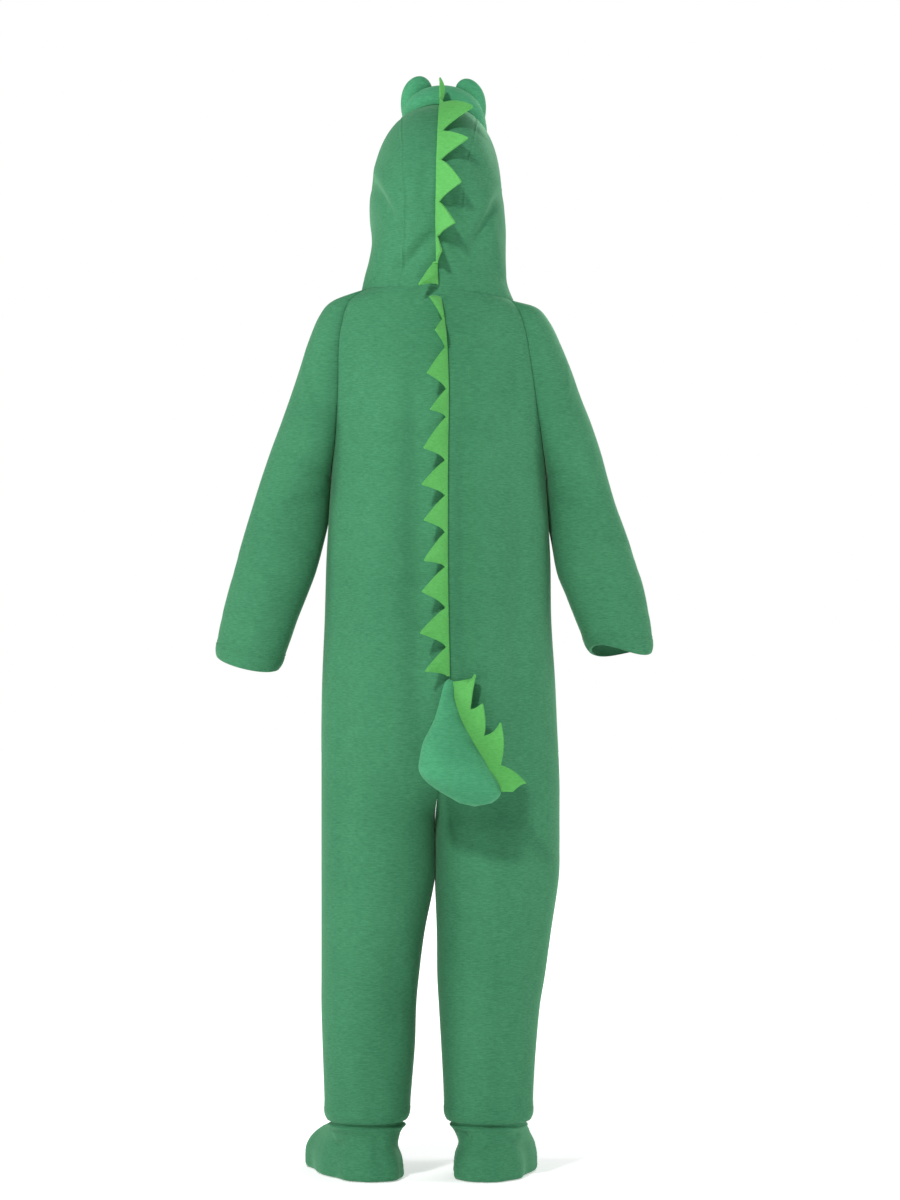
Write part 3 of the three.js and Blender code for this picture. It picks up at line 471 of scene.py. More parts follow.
# The raglan sleeves are one piece each, set between the back and the front from the neck to the
# underarm, and closed by an underarm seam. The cuffs are turned up and stitched.
# Outer is the point over the shoulder and arm, and inner the underarm seam, in millimetres. Sag is
# how far the back of the cuff hangs below its front, and wave waves the cuff's edge.
sleeve_names = "outer_x outer_z inner_x inner_z depth middle_y round sag wave"
sleeves = {
    "left": named_rows(sleeve_names, [
        (92, 0.7, 128.5, -220, 0, 0, 0, 0, 0),
        (127, -11, 128.5, -220, 1, 0, 0.05, 0, 0),
        (143, -29, 128.5, -220, 3, -1, 0.12, 0, 0),
        (156, -60, 128.5, -220, 5, -2, 0.22, 0, 0),
        (166, -91, 128.5, -220, 8, -3, 0.38, 0, 0),
        (176, -121, 128.5, -220, 13, -4, 0.58, 0, 0),
        (188, -155, 128.5, -220, 25, -4, 0.8, 0, 0),
        (201, -190, 128.5, -220, 48, -4, 1, 0, 0),
        (212, -222, 129, -243, 47, -5, 1, 0, 0),
        (223, -257, 130.6, -270, 46, -6, 1, 0, 0),
        (235, -296, 137, -300, 46, -8, 1, 0, 0),
        (244, -328, 146, -334, 45, -10, 1, 0, 0),
        (252, -357, 158, -366, 44, -12, 1, 0, 0),
        (259, -384, 168, -391, 43, -13, 1, 0, 0),
        (264, -408, 178, -420, 42, -14, 1, 2.5, 0),
        (268.5, -436, 190, -453, 41, -15, 1, 7, 0),
    ]),
    "right": named_rows(sleeve_names, [
        (-92, -12.7, -129.5, -220, 0, 0, 0, 0, 0),
        (-119, -19, -129.5, -220, 1, 0, 0.05, 0, 0),
        (-135, -37, -129.5, -220, 3, -1, 0.12, 0, 0),
        (-148, -64, -129.5, -220, 5, -2, 0.22, 0, 0),
        (-160, -93, -129.5, -220, 8, -3, 0.38, 0, 0),
        (-171, -124, -129.5, -220, 13, -4, 0.58, 0, 0),
        (-184, -157, -129.5, -220, 25, -4, 0.8, 0, 0),
        (-196, -193, -129.5, -220, 48, -4, 1, 0, 0),
        (-205, -226, -130, -246, 47, -5, 1, 0, 0),
        (-214, -256, -131.6, -274, 46, -6, 1, 0, 0),
        (-226, -288, -136.5, -303, 46, -8, 1, 0, 0),
        (-237, -321, -142.5, -336, 45, -10, 1, 0, 0),
        (-246, -349, -152.5, -361, 44, -12, 1, 0, 0),
        (-252, -376, -161.5, -384, 43, -13, 1, 0, 0),
        (-256.5, -402, -170.5, -406, 42, -14, 1, -1, -1),
        (-259, -432, -180, -430, 41, -15, 1, -3.5, -4.5),
    ]),
}
underarm_row = 7
# Just below the underarm the sleeves rest on the front of the sides.
rest_row, rest_reach, rest_forward = 8.9, 1.1, 14.0

# Creases of the sleeves: where each crosses the arm (0 at the back seam to 1 at the front seam),
# its row, how far it slants in rows, its half length and half width, and its depth in millimetres.
creases = named_rows(
    "around row slant reach width deep",
    [
        (0.3, 4.6, -1.6, 0.1, 0.35, 1.6),
        (0.2, 8.6, 1.4, 0.16, 0.3, -1.8),
        (0.34, 9.9, 1.6, 0.14, 0.28, -1.4),
        (0.22, 11.2, -1.2, 0.15, 0.3, -1.6),
        (0.36, 12.6, 1.2, 0.12, 0.25, -1.2),
        (0.74, 8.9, 1.5, 0.14, 0.3, -1.8),
        (0.66, 10.6, -1.3, 0.15, 0.3, -1.6),
        (0.8, 12.2, 1.2, 0.12, 0.3, -1.4),
        (0.14, 10.2, -0.8, 0.1, 0.25, -1.6),
        (0.88, 10.4, 0.8, 0.1, 0.25, -1.5),
    ],
)


def crease_height(place, u, rows):
    """The sum of the creases: each is a soft trough or ridge along a short slanting line."""
    total = np.zeros_like(u)
    for k in range(len(rows["row"])):
        length = (u - rows["around"][k]) / rows["reach"][k]
        across = (place - rows["row"][k] - rows["slant"][k] * (u - rows["around"][k])
                  / rows["reach"][k] * 0.5) / rows["width"][k]
        total += rows["deep"][k] * np.exp(-across**2 - length**2)
    return total


def seam_spread(place, side):
    """Half the distance between the back and front raglan seams, which is 0 from the underarm on."""
    ones = np.ones_like(place)
    seam_place = np.minimum(place, underarm_row)
    behind = suit_points(seam_place, side, 1, ones)[..., 1]
    ahead = suit_points(seam_place, side, -1, ones)[..., 1]
    return np.where(place < underarm_row, (behind - ahead) / 2, 0) / mm


def sleeve_points(place, side, rows, u):
    """A point of a sleeve: from the back raglan seam over the outer side to the front one, as an
    open arch that turns into a whole ellipse as round goes to 1."""
    value = {name: along(column, place) for name, column in rows.items()}
    quarter = np.sqrt(0.5)
    whole_depth = rows["depth"] + quarter * seam_spread(np.arange(len(rows["depth"])) * 1.0, side)
    depth = along(whole_depth, place) - quarter * seam_spread(place, side)
    suit_place = np.minimum(place, underarm_row)
    ones = np.ones_like(u)
    on_body = (place < underarm_row)[..., None]
    forward = rest_forward * np.exp(-((place - rest_row) / rest_reach) ** 2)
    forward = forward * np.clip(place - underarm_row, 0, 1)
    inner = np.stack([value["inner_x"], -forward, value["inner_z"]], -1) * mm
    seam_back = np.where(on_body, suit_points(suit_place, side, 1, ones), inner)
    seam_front = np.where(on_body, suit_points(suit_place, side, -1, ones), inner)
    middle = (seam_back + seam_front) / 2
    half = (seam_back - seam_front) / 2
    outer = np.stack([value["outer_x"], value["middle_y"], value["outer_z"]], -1) * mm
    arch = np.sin(np.pi * u)
    tube = (1 - np.cos(2 * np.pi * u)) / 2
    reach = arch + (tube - arch) * np.clip(value["round"], 0, 1)
    points = middle + (outer - middle) * reach[..., None] + half * np.cos(np.pi * u)[..., None]
    points[..., 1] += depth * mm * np.sin(2 * np.pi * u)
    points[..., 2] -= (value["sag"] * np.sin(2 * np.pi * u) + value["wave"] * np.sin(4 * np.pi * u)) * mm
    calm = np.clip(np.minimum(u, 1 - u) / 0.08, 0, 1)
    calm = calm * np.clip((len(rows["round"]) - 1 - place) / 1.2, 0, 1)
    lift = crease_height(place, u, creases) * calm * mm
    return points + side * grid_normals(points) * lift[..., None]


sleeve_rows = 190
sleeve_columns = 84
for side, side_name in ((1, "left"), (-1, "right")):
    rows = sleeves[side_name]
    sleeve_places = finer_end(len(rows["round"]) - 1, sleeve_rows, 0.8, 24)
    u, place = np.meshgrid(np.linspace(0, 1, sleeve_columns), sleeve_places)
    points = sleeve_points(place, side, rows, u)
    node = "sleeve_" + side_name
    seams = ("left", "right", "top")
    sew_panel(node + "_cloth", points, side, seams, ("bottom",), [node], fleece, curl=3 * mm)

# The hood is two crown halves, joined over the middle of the head, and a side piece on each side,
# which ends in a turned edge round the face. The rows run from the neck seam, up the back and over
# the head, and the last three carry the brow on over the face. Sizes are in millimetres.
hood = named_rows(
    "back_y back_z side_y side_z half_left half_right edge_y seam_left seam_right shift full tilt",
    [
        (80, 0.4, 0, -6, 92, 92, -78.5, 48, 48, 0, 1, 1),
        (79, 22, -4, 14, 87, 84.5, -84, 43, 43, 1, 0.97, 0.8),
        (82, 50, -10, 34, 81.5, 83, -90, 39, 36, 1.5, 0.94, 0.5),
        (90, 82, -18, 54, 77.8, 83.5, -95, 38, 33, 2, 0.92, 0.3),
        (97, 112, -28, 74, 79, 83.3, -98, 38, 33, 1.5, 0.9, 0.1),
        (98, 142, -38, 92, 81.6, 81.6, -99, 40, 36, 1, 0.9, 0),
        (90, 170, -48, 107, 82.8, 79.5, -100, 42, 40, 0, 0.9, 0),
        (72, 196, -58, 118, 82, 76, -100, 45, 43, -1, 0.9, 0),
        (44, 215, -67, 125, 81.5, 73, -99, 46, 44, -2, 0.9, 0),
        (8, 225, -75, 129, 81, 71.5, -97, 47, 44, -3.5, 0.9, 0),
        (-32, 227, -82, 130, 80.5, 71, -94, 48, 44, -5, 0.9, 0),
        (-72, 223, -90, 128, 80, 71, -92, 47, 43, -6, 0.9, 0),
        (-104, 216, -112, 118, 76, 71, -112, 40, 40, -8, 0.9, 0),
        (-134, 206, -138, 112, 69, 67, -138, 36, 36, -9, 0.9, 0),
        (-160, 196, -160, 108, 60, 60, -160, 30, 30, -10, 0.9, 0),
    ],
)
hood_last = 11

# Creases of the hood: a line from one place to another, seen from behind, in millimetres.
hood_creases = named_rows(
    "x_start z_start x_end z_end width deep",
    [
        (84, 140, 50, 76, 6, -5),
        (74, 150, 42, 92, 8, 2.6),
        (-80, 126, -38, 40, 6, -5),
        (-68, 128, -30, 52, 8, 2.4),
        (4, 64, 54, 12, 7, -4.2),
        (16, 70, 62, 26, 7, 2),
        (-60, 96, -74, 26, 7, 2.4),
        (-10, 50, -46, 8, 6, -3),
        (66, 62, 76, 14, 7, 2.6),
        (30, 172, 46, 118, 9, 2.2),
        (-34, 164, -60, 124, 9, -2.2),
        (14, 150, 18, 96, 8, -1.8),
        (-14, 120, -20, 66, 8, -2.2),
    ],
)


def line_creases(x, z, rows):
    """Troughs and ridges along lines: each fades with the distance from its line."""
    total = np.zeros_like(x)
    for k in range(len(rows["deep"])):
        start = np.array([rows["x_start"][k], rows["z_start"][k]])
        way = np.array([rows["x_end"][k], rows["z_end"][k]]) - start
        t = np.clip(((x - start[0]) * way[0] + (z - start[1]) * way[1]) / (way @ way), 0, 1)
        distance = np.hypot(x - start[0] - t * way[0], z - start[1] - t * way[1])
        fade = 0.4 + 0.6 * np.sin(np.pi * t)
        total += rows["deep"][k] * np.exp(-(distance / rows["width"][k]) ** 2) * fade
    return total


def signed_power(base, power):
    return np.sign(base) * np.abs(base) ** power


def hood_points(place, side, angle):
    """A point of the hood: an arc from the centre line (angle 0) to the side, flattened a little
    by the power full."""
    value = {name: along(column, place) for name, column in hood.items()}
    half = np.where(side > 0, value["half_left"], value["half_right"])
    sine = signed_power(np.sin(angle), value["full"])
    cosine = signed_power(np.cos(angle), value["full"])
    x = side * half * sine + value["shift"]
    y = value["side_y"] + (value["back_y"] - value["side_y"]) * cosine
    z = value["side_z"] + (value["back_z"] - value["side_z"]) * cosine + neck_lean * value["tilt"] * x
    return np.stack([x, y, z], -1) * mm


def hood_angles(place, side_name):
    """The angles of the seam between crown and side, and of the face edge."""
    value = {name: along(column, place) for name, column in hood.items()}
    share = value["seam_" + side_name] / value["half_" + side_name]
    seam = np.arcsin(share ** (1 / value["full"]))
    share = (value["side_y"] - value["edge_y"]) / (value["back_y"] - value["side_y"])
    edge = np.pi - np.arccos(np.minimum(1, np.abs(share) ** (1 / value["full"])))
    return seam, edge


# The hood's creases fade out this far ahead of the neck's middle.
hood_creases_end = 45 * mm


def creased_hood(points, side):
    """The hood's points with the creases of its back, which fade out towards its front."""
    behind = np.clip((points[..., 1] + hood_creases_end) / (40 * mm), 0, 1)
    lift = line_creases(points[..., 0] / mm, points[..., 2] / mm, hood_creases) * behind * mm
    return points - side * grid_normals(points) * lift[..., None]


hood_rows_fine = 130
for side, side_name in ((1, "left"), (-1, "right")):
    u, place = np.meshgrid(np.linspace(0, 1, 34), np.linspace(0, hood_last, hood_rows_fine))
    seam, edge = hood_angles(place, side_name)
    points = creased_hood(hood_points(place, side, u * seam), side)
    node = "hood_crown_" + side_name
    sew_panel(node + "_cloth", points, -side, ("left", "top"), (), [node], fleece, ridges=("right",))
    u, place = np.meshgrid(finer_end(1, 68, 0.12, 22), np.linspace(0, hood_last, hood_rows_fine))
    seam, edge = hood_angles(place, side_name)
    points = creased_hood(hood_points(place, side, seam + u * (edge - seam)), side)
    node = "hood_side_" + side_name
    seams = ("top",)
    sew_panel(node + "_cloth", points, -side, seams, ("right",), [node], fleece, ridges=("left",))

# The boot covers are loose fleece half shells, an outer and an inner one for each foot, sewn inside
# the leg's hem and open below. Each row is a level, with its reach behind and ahead of the ankle.
boot = named_rows(
    "z heel toe half turn full",
    [
        (-968, 0, 0, 0, 0, 1),
        (-977, 0, 0, 0, 0, 1),
        (-986, 0, 0, 0, 0, 1),
        (-994, 0, 0, 0, 0, 1),
        (-998, 54, 67, 47, 0.15, 1),
        (-1002, 52, 88, 45, 0.45, 0.95),
        (-1009, 50, 116, 43, 0.8, 0.92),
        (-1022, 49, 146, 41, 1, 0.85),
        (-1036, 53, 158, 45, 1, 0.8),
        (-1049, 54, 157, 45, 1, 0.8),
        (-1056, 55, 155, 45, 1, 0.8),
        (-1060, 52, 150, 43, 1, 0.8),
    ],
)
sewn_rows = 4
foot_turns = {"left": np.radians(19), "right": np.radians(10)}
boot_inset = 2.45
# The levels between which the covers are tucked in under the curled hem, and how deep.
tuck_start, tuck_end, tuck_depth = -981, -992, 5.0
hem_wave = 2.5

# Creases of the boot covers, seen from behind, in millimetres.
boot_creases = named_rows(
    "x_start z_start x_end z_end width deep",
    [
        (136, -1001, 128, -1016, 4, -3.2),
        (136, -1026, 112, -1018, 4, -3),
        (126, -1006, 118, -1014, 4, 2),
        (72, -1006, 74, -1032, 5, -2),
        (-28, -999, -40, -1018, 4, -3.4),
        (-50, -1027, -74, -1019, 5, -2.6),
        (-78, -1014, -96, -1026, 5, 2.6),
        (-92, -1002, -100, -1016, 4, -2.2),
        (-30, -1030, -36, -1046, 5, -1.8),
    ],
)


def boot_points(side_name, side, half, u):
    """The rows of a boot cover: the leg's own ellipse inside the hem, then a foot that grows out to
    the toe and turns outwards, with a wave that grows towards its open edge."""
    hem = {name: column[-2] + (column[-1] - column[-2]) * np.clip((-946 - boot["z"]) / 46, 0, 1)
           for name, column in suit.items()}
    outer = hem["side_" + side_name]
    inner = hem["inner_" + side_name]
    centre = (outer + inner) / 2
    angle = np.pi * u
    inset = boot_inset + np.interp(boot["z"], [tuck_end, tuck_start], [tuck_depth, 0])
    leg_x = centre[:, None] + half * (np.abs(outer - inner) / 2 - inset)[:, None] * np.sin(angle)
    leg_y = (hem["leg_depth"] - inset)[:, None] * np.cos(angle)
    value = {name: column[:, None] for name, column in boot.items()}
    middle = (value["heel"] - value["toe"]) / 2
    lengthwise = middle + (value["heel"] + value["toe"]) / 2 * signed_power(np.cos(angle), value["full"])
    first = boot["z"][sewn_rows]
    loose = (value["z"] - first) / (boot["z"][-1] - first)
    wave = hem_wave * loose * np.sin(9 * angle + half)
    sideways = half * (value["half"] * np.abs(np.sin(angle)) ** value["full"] + wave * np.sin(angle))
    turn = side * foot_turns[side_name] * value["turn"]
    foot_x = centre[:, None] + sideways * np.cos(turn) - lengthwise * np.sin(turn)
    foot_y = lengthwise * np.cos(turn) + sideways * np.sin(turn)
    sewn = (np.arange(len(boot["z"])) < sewn_rows)[:, None]
    z = np.broadcast_to(value["z"], leg_x.shape)
    return np.stack([np.where(sewn, leg_x, foot_x), np.where(sewn, leg_y, foot_y), z], -1) * mm


for side, side_name in ((1, "left"), (-1, "right")):
    for half, half_name in ((side, "outer"), (-side, "inner")):
        place = np.linspace(0, len(boot["z"]) - 1, 90)
        points = along(boot_points(side_name, side, half, np.linspace(0, 1, 96)), place)
        behind = np.clip(points[..., 1] / (20 * mm), 0, 1)
        lift = line_creases(points[..., 0] / mm, points[..., 2] / mm, boot_creases) * behind * mm
        calm = np.clip((-points[..., 2] / mm - 998) / 4, 0, 1)
        points = points + half * grid_normals(points) * (lift * calm)[..., None]
        node = f"boot_{side_name}_{half_name}"
        sew_panel(node + "_cloth", points, half, ("left", "right"), ("bottom",), [node], fleece)

# The brow is a flat stuffed pad of the same fleece, sewn to the top of the hood. Its colour is a lighter
# copy of the fleece's, as painted light. It runs on over the face as a short snout, and the two stuffed
# eye bumps stand on it. Sizes are in millimetres.
# A lighter copy of the body fleece for the brow, the eye bumps and the tail: its lighter colour is painted
# light, not a different cloth.
painted_lighter_fleece = cloth_material("fleece_padded", (40, 112, 76), (84, 164, 120), 0.8 * mm, 0.4 * mm, 0.35)
brow_start, brow_end = 9.4, 14.0
brow_end_half, brow_half = 16.0, 46.0
brow_edge, brow_high, brow_seat = 2.5, 27.0, 0.95


def brow_bulge(share):
    return np.sqrt(np.maximum(0, 1 - (2 * share - 1) ** 4))


def brow_points(share, across, raised):
    """A point of the brow over the hood: share runs from its back to its tip, across from one side
    (-1) to the other (1), and raised is 0 underneath and 1 on top."""
    place = brow_start + (brow_end - brow_start) * share
    half = brow_end_half + (brow_half - brow_end_half) * brow_bulge(share)
    side = np.where(across < 0, -1.0, 1.0)
    width = np.where(side > 0, along(hood["half_left"], place), along(hood["half_right"], place))
    angle = np.arcsin((np.abs(across) * half / width) ** (1 / along(hood["full"], place)))
    step = 0.02
    lengthwise = hood_points(place + step, side, angle) - hood_points(place - step, side, angle)
    nearer = np.maximum(0, angle - step)
    crosswise = hood_points(place, side, angle + step) - hood_points(place, side, nearer)
    normal = np.cross(lengthwise, crosswise) * side[..., None]
    normal /= np.linalg.norm(normal, axis=-1, keepdims=True)
    normal *= np.where(normal[..., 2:] < 0, -1, 1)
    dome = brow_bulge(share) * np.sqrt(np.maximum(0, 1 - across**2))
    lift = brow_seat + raised * (brow_edge + brow_high * dome)
    return hood_points(place, side, angle) + normal * (lift * mm)[..., None]


def closed_mesh(name, start, loops, end, material):
    """A closed surface of loops that shrinks to a point at both ends."""
    rows, columns = loops.shape[:2]
    first = np.arange(columns)
    after = np.roll(first, -1)
    last_ring = 1 + (rows - 1) * columns
    tip = 1 + rows * columns
    walls = grid_faces(rows, columns, start=1, closed=True)[:, ::-1]
    caps = [np.stack([np.zeros_like(first), 1 + first, 1 + after], -1),
            np.stack([np.full_like(first, tip), last_ring + after, last_ring + first], -1)]
    points = np.concatenate([[start], loops.reshape(-1, 3), [end]])
    corners = points[walls] - points.mean(0)
    diagonals = np.cross(corners[:, 2] - corners[:, 0], corners[:, 3] - corners[:, 1])
    if np.sum(corners.mean(1) * diagonals) < 0:
        walls = walls[:, ::-1]
    middle = points[caps[0]] - points.mean(0)
    if np.sum(middle.mean(1) * np.cross(middle[:, 1] - middle[:, 0], middle[:, 2] - middle[:, 0])) < 0:
        caps = [cap[:, ::-1] for cap in caps]
    faces = [face for group in (walls, *caps) for face in group]
    return make_mesh(name, points, faces, material)


even_turns = np.linspace(np.pi / 2, -np.pi / 2, 80)
share, across = np.meshgrid(np.linspace(0, 1, 100), np.sin(even_turns), indexing="ij")
brow = shell_mesh("brow_pad", brow_points(share, across, 1), brow_points(share, across, 0),
                  painted_lighter_fleece)
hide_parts("brow")

eyes = {
    "eye_left": {"share": 0.3, "offset": 27, "radius": 17, "high": 20, "lean": 0.2},
    "eye_right": {"share": 0.3, "offset": -27, "radius": 16, "high": 18, "lean": -0.2},
}
brow_back, brow_tip = (brow_points(np.array(end), np.array(0.0), 1) for end in (0.0, 1.0))
brow_length = np.linalg.norm(brow_tip - brow_back) / mm


def eye_points(eye, radius, turn, lift):
    """A point over the brow, at a share of the eye's radius and a turn round its middle."""
    share = eye["share"] + eye["radius"] * radius * np.sin(turn) / brow_length
    half = brow_end_half + (brow_half - brow_end_half) * brow_bulge(share)
    across = (eye["offset"] + eye["radius"] * radius * np.cos(turn)) / half
    up = np.array([eye["lean"], 0.15, 1])
    up /= np.linalg.norm(up)
    return brow_points(share, across, 1) + up * (lift * mm)[..., None]


for node, eye in eyes.items():
    falling = np.sin(np.linspace(0.06, 1, 30) * np.pi / 2)
    radius = np.concatenate([falling, falling[::-1][1:]])[:, None]
    top = (np.arange(len(radius)) < 30)[:, None]
    turn = np.linspace(0, 2 * np.pi, 56, endpoint=False)[None, :]
    dome = 1 + eye["high"] * np.sqrt(np.maximum(0, 1 - radius**2.4))
    ring = np.broadcast_arrays(radius, turn, np.where(top, dome, 0.0))
    middle = eye_points(eye, np.zeros(2), np.zeros(2), np.array([eye["high"] + 1.0, 0.0]))
    loops = eye_points(eye, *ring)
    bump = closed_mesh(node + "_pad", middle[0], loops, middle[1], painted_lighter_fleece)
    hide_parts(node)

# The zigzag strips are lime felt, 2 mm thick with cut edges. Each is caught in a seam by its foot,
# and its teeth lean over. One runs over the hood, one down the back and one along the tail.
felt = cloth_material("felt_lime", (60, 140, 62), (106, 182, 100), 0.6 * mm, 0.3 * mm, 0.15)
felt_thickness = 2.0 * mm
strip_foot = 3.5
strip_sunk = 1.2
steps_in_tooth = 26
steps_up = 16


def felt_strip(name, stations, node):
    """A strip of teeth. At each station a foot stands upright on the seam, and the tooth above it
    leans over, is swept along by the square of its level and bows out halfway up."""
    level = np.linspace(0, 1, steps_up)[:, None, None]
    base = stations["point"] + stations["out"] * strip_foot * mm
    reach = (stations["height"] - strip_foot)[:, None] * mm
    teeth = base + stations["lean"] * reach * level + stations["sweep"] * level**2
    teeth = teeth + stations["bow"] * 4 * level * (1 - level)
    foot = stations["point"] - stations["out"] * strip_sunk * mm
    middle = (foot + base) / 2
    points = np.concatenate([foot[None], middle[None], teeth])
    half = grid_normals(points) * felt_thickness / 2
    strip = shell_mesh(name, points + half, points - half, felt)
    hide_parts(node)
    declare_sheet(points)


def unit(vectors):
    return vectors / np.linalg.norm(vectors, axis=-1, keepdims=True)


def tooth_stations(rows, valley, line_at, downward):
    """The stations of a row of teeth on a seam that lies in the plane of the spine."""
    parts = {"point": [], "out": [], "lean": [], "sweep": [], "bow": [], "height": []}
    for k in range(len(rows["start"])):
        share = np.linspace(0, 1, steps_in_tooth)[:None if k == len(rows["start"]) - 1 else -1]
        place = rows["start"][k] + (rows["end"][k] - rows["start"][k]) * share
        point = line_at(place)
        way = unit(line_at(place + downward * 0.05) - line_at(place - downward * 0.05))
        out = unit(np.stack([np.zeros_like(share), -way[:, 2], way[:, 1]], -1))
        ends = line_at(np.array([rows["start"][k], rows["end"][k]]))
        length = np.linalg.norm(ends[1] - ends[0])
        rise = np.where(share < 0.5, (2 * share) ** 0.8, np.abs(2 - 2 * share) ** 1.4)
        lean = unit(np.array([1.0, 0, 0]) * rows["lean"][k] + out * rows["outward"][k])
        parts["point"].append(point)
        parts["out"].append(out)
        parts["lean"].append(lean)
        parts["sweep"].append(way * ((rows["tip"][k] - 0.5) * length * rise)[:, None])
        parts["bow"].append(unit(np.cross(lean, way)) * (rows["bow"][k] * mm * rise)[:, None])
        parts["height"].append(valley + (rows["high"][k] - valley) * rise)
    return {name: np.concatenate(part) for name, part in parts.items()}


# Each tooth starts and ends at a place along its seam. Tip is the share of the way at which its
# tip stands, lean and outward aim it sideways and off the cloth, and bow bends it halfway up. On the
# hood the places are rows, from the top down to the neck.
tooth_names = "start end tip high lean outward bow"
hood_teeth = named_rows(
    tooth_names,
    [
        (9.3, 8.4, 0.3, 33, 0.05, 1, 5),
        (8.4, 6.4, 0.6, 47, -0.95, 0.32, 0),
        (6.4, 5.2, 0.45, 44, -0.9, 0.42, 0),
        (5.2, 3.65, 0.55, 41, -0.78, 0.62, 1),
        (3.65, 2.4, 0.55, 40, -0.62, 0.78, 1),
        (2.4, 1.3, 0.5, 33, -0.12, 1, 4),
        (1.3, 0.25, 1.1, 34, 0.75, 0.65, 7),
    ],
)
hood_valley = 9


def hood_line(place):
    return hood_points(place, 1, np.zeros_like(place))


felt_strip("spikes_hood_felt", tooth_stations(hood_teeth, hood_valley, hood_line, -1), "spikes_hood")

# Levels down the centre-back seam, in millimetres.
back_teeth = named_rows(
    tooth_names,
    [
        (-13, -39, 0.3, 40, 0.4, 0.9, 3),
        (-39, -73, 0.6, 40, 0.35, 0.95, 4),
        (-73, -121, 0.72, 44, 0.62, 0.8, 3),
        (-121, -154, 0.8, 41, 0.55, 0.8, 3),
        (-154, -205, 0.74, 44, 0.7, 0.7, 4),
        (-205, -246, 0.7, 44, 0.75, 0.65, 3),
        (-246, -289, 0.68, 43, 0.7, 0.7, 3),
        (-289, -330, 0.82, 43, 0.7, 0.7, 4),
        (-330, -378, 0.6, 44, 0.75, 0.65, 3),
        (-378, -424, 0.64, 46, 0.8, 0.6, 4),
        (-424, -458, 0.84, 42, 0.75, 0.65, 3),
    ],
)
back_valley = 7
seam_samples = np.linspace(0, suit_last, 600)
seam_points = suit_points(seam_samples, 1, 1, np.zeros_like(seam_samples))


def back_line(level):
    """The point of the centre-back seam at a level: z falls all the way down the samples."""
    place = np.interp(-level * mm, -seam_points[:, 2], seam_samples)
    return suit_points(place, 1, 1, np.zeros_like(place))


felt_strip("spikes_back_felt", tooth_stations(back_teeth, back_valley, back_line, -20), "spikes_back")

# The tail is a stuffed drop of the same fleece that hangs from the seat. It is sewn on by its narrow
# top, and its own felt strip stands on its right-hand side. Sizes are in millimetres.
tail = named_rows(
    "z x y half_x half_y",
    [
        (-464, -13.4, 108.2, 5, 3.2),
        (-474, -12.5, 112, 7, 5.5),
        (-486, -11.5, 117.5, 9, 10),
        (-509, -12, 127, 16.5, 18),
        (-534, -12.9, 139, 29.5, 28),
        (-553, -17, 146, 37, 34),
        (-566, -20.8, 149, 40.5, 36),
        (-578, -28, 150, 41.5, 36),
        (-589, -36, 149, 37, 32),
        (-598, -42, 148, 28.5, 25),
        (-605, -44, 147, 18.5, 17),
    ],
)
# Lumps of the stuffing: the turn is in degrees from the back towards the left.
tail_lumps = named_rows(
    "row turn reach spread high",
    [
        (6.2, 85, 1.4, 40, 2.2),
        (7.9, 48, 0.8, 22, -2.6),
        (8.6, -50, 1.2, 34, 3),
        (7.2, -12, 1.1, 26, -1.8),
        (4.6, 25, 1.3, 30, 1.4),
        (3.2, -20, 1, 24, -1.2),
        (5.6, -35, 0.9, 20, 1.6),
        (6.5, 170, 1.4, 40, 1.8),
        (4.2, 150, 1.1, 30, -1.4),
    ],
)
tail_top = np.array([-13.6, 107, -460.5]) * mm
tail_end = np.array([-43, 146, -609]) * mm
tail_last = len(tail["z"]) - 1


def tail_points(place, turn):
    """A point of the tail: an ellipse for each level, turned from the back towards the left."""
    value = {name: along(column, place) for name, column in tail.items()}
    lump = np.zeros(np.broadcast(place, turn).shape)
    for k in range(len(tail_lumps["row"])):
        around = (turn - np.radians(tail_lumps["turn"][k]) + np.pi) % (2 * np.pi) - np.pi
        lengthwise = (place - tail_lumps["row"][k]) / tail_lumps["reach"][k]
        bump = np.exp(-lengthwise**2 - (around / np.radians(tail_lumps["spread"][k])) ** 2)
        lump = lump + tail_lumps["high"][k] * bump
    x = value["x"] + (value["half_x"] + lump) * np.sin(turn)
    y = value["y"] + (value["half_y"] + lump) * np.cos(turn)
    return np.stack([x, y, value["z"] + np.zeros_like(x)], -1) * mm


place, turn = np.meshgrid(np.linspace(0, tail_last, 110), np.linspace(0, 2 * np.pi, 96, endpoint=False),
                          indexing="ij")
tail_loops = tail_points(place, turn)
# The tail wears the lighter copy of the fleece, whose lighter colour is painted light.
tail_pad = closed_mesh("tail_pad", tail_top, tail_loops, tail_end, painted_lighter_fleece)
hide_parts("tail")

# Low is the height at which a tooth starts.
tail_valley = 14
tail_teeth = named_rows(
    "start end tip low high lean outward up",
    [
        (0.1, 2.7, 0.44, 22, 34, -0.75, 0.3, 0.75),
        (2.7, 4, 0.4, tail_valley, 35, -0.6, 0.3, 0.8),
        (4, 6.2, 0.2, tail_valley, 44, -0.6, 0.3, 0.9),
        (6.2, 8.2, 0.75, tail_valley, 32, -0.95, 0.3, 0.1),
    ],
)
tail_strip_turn = np.radians(280)
tail_bow = 2.5 * mm


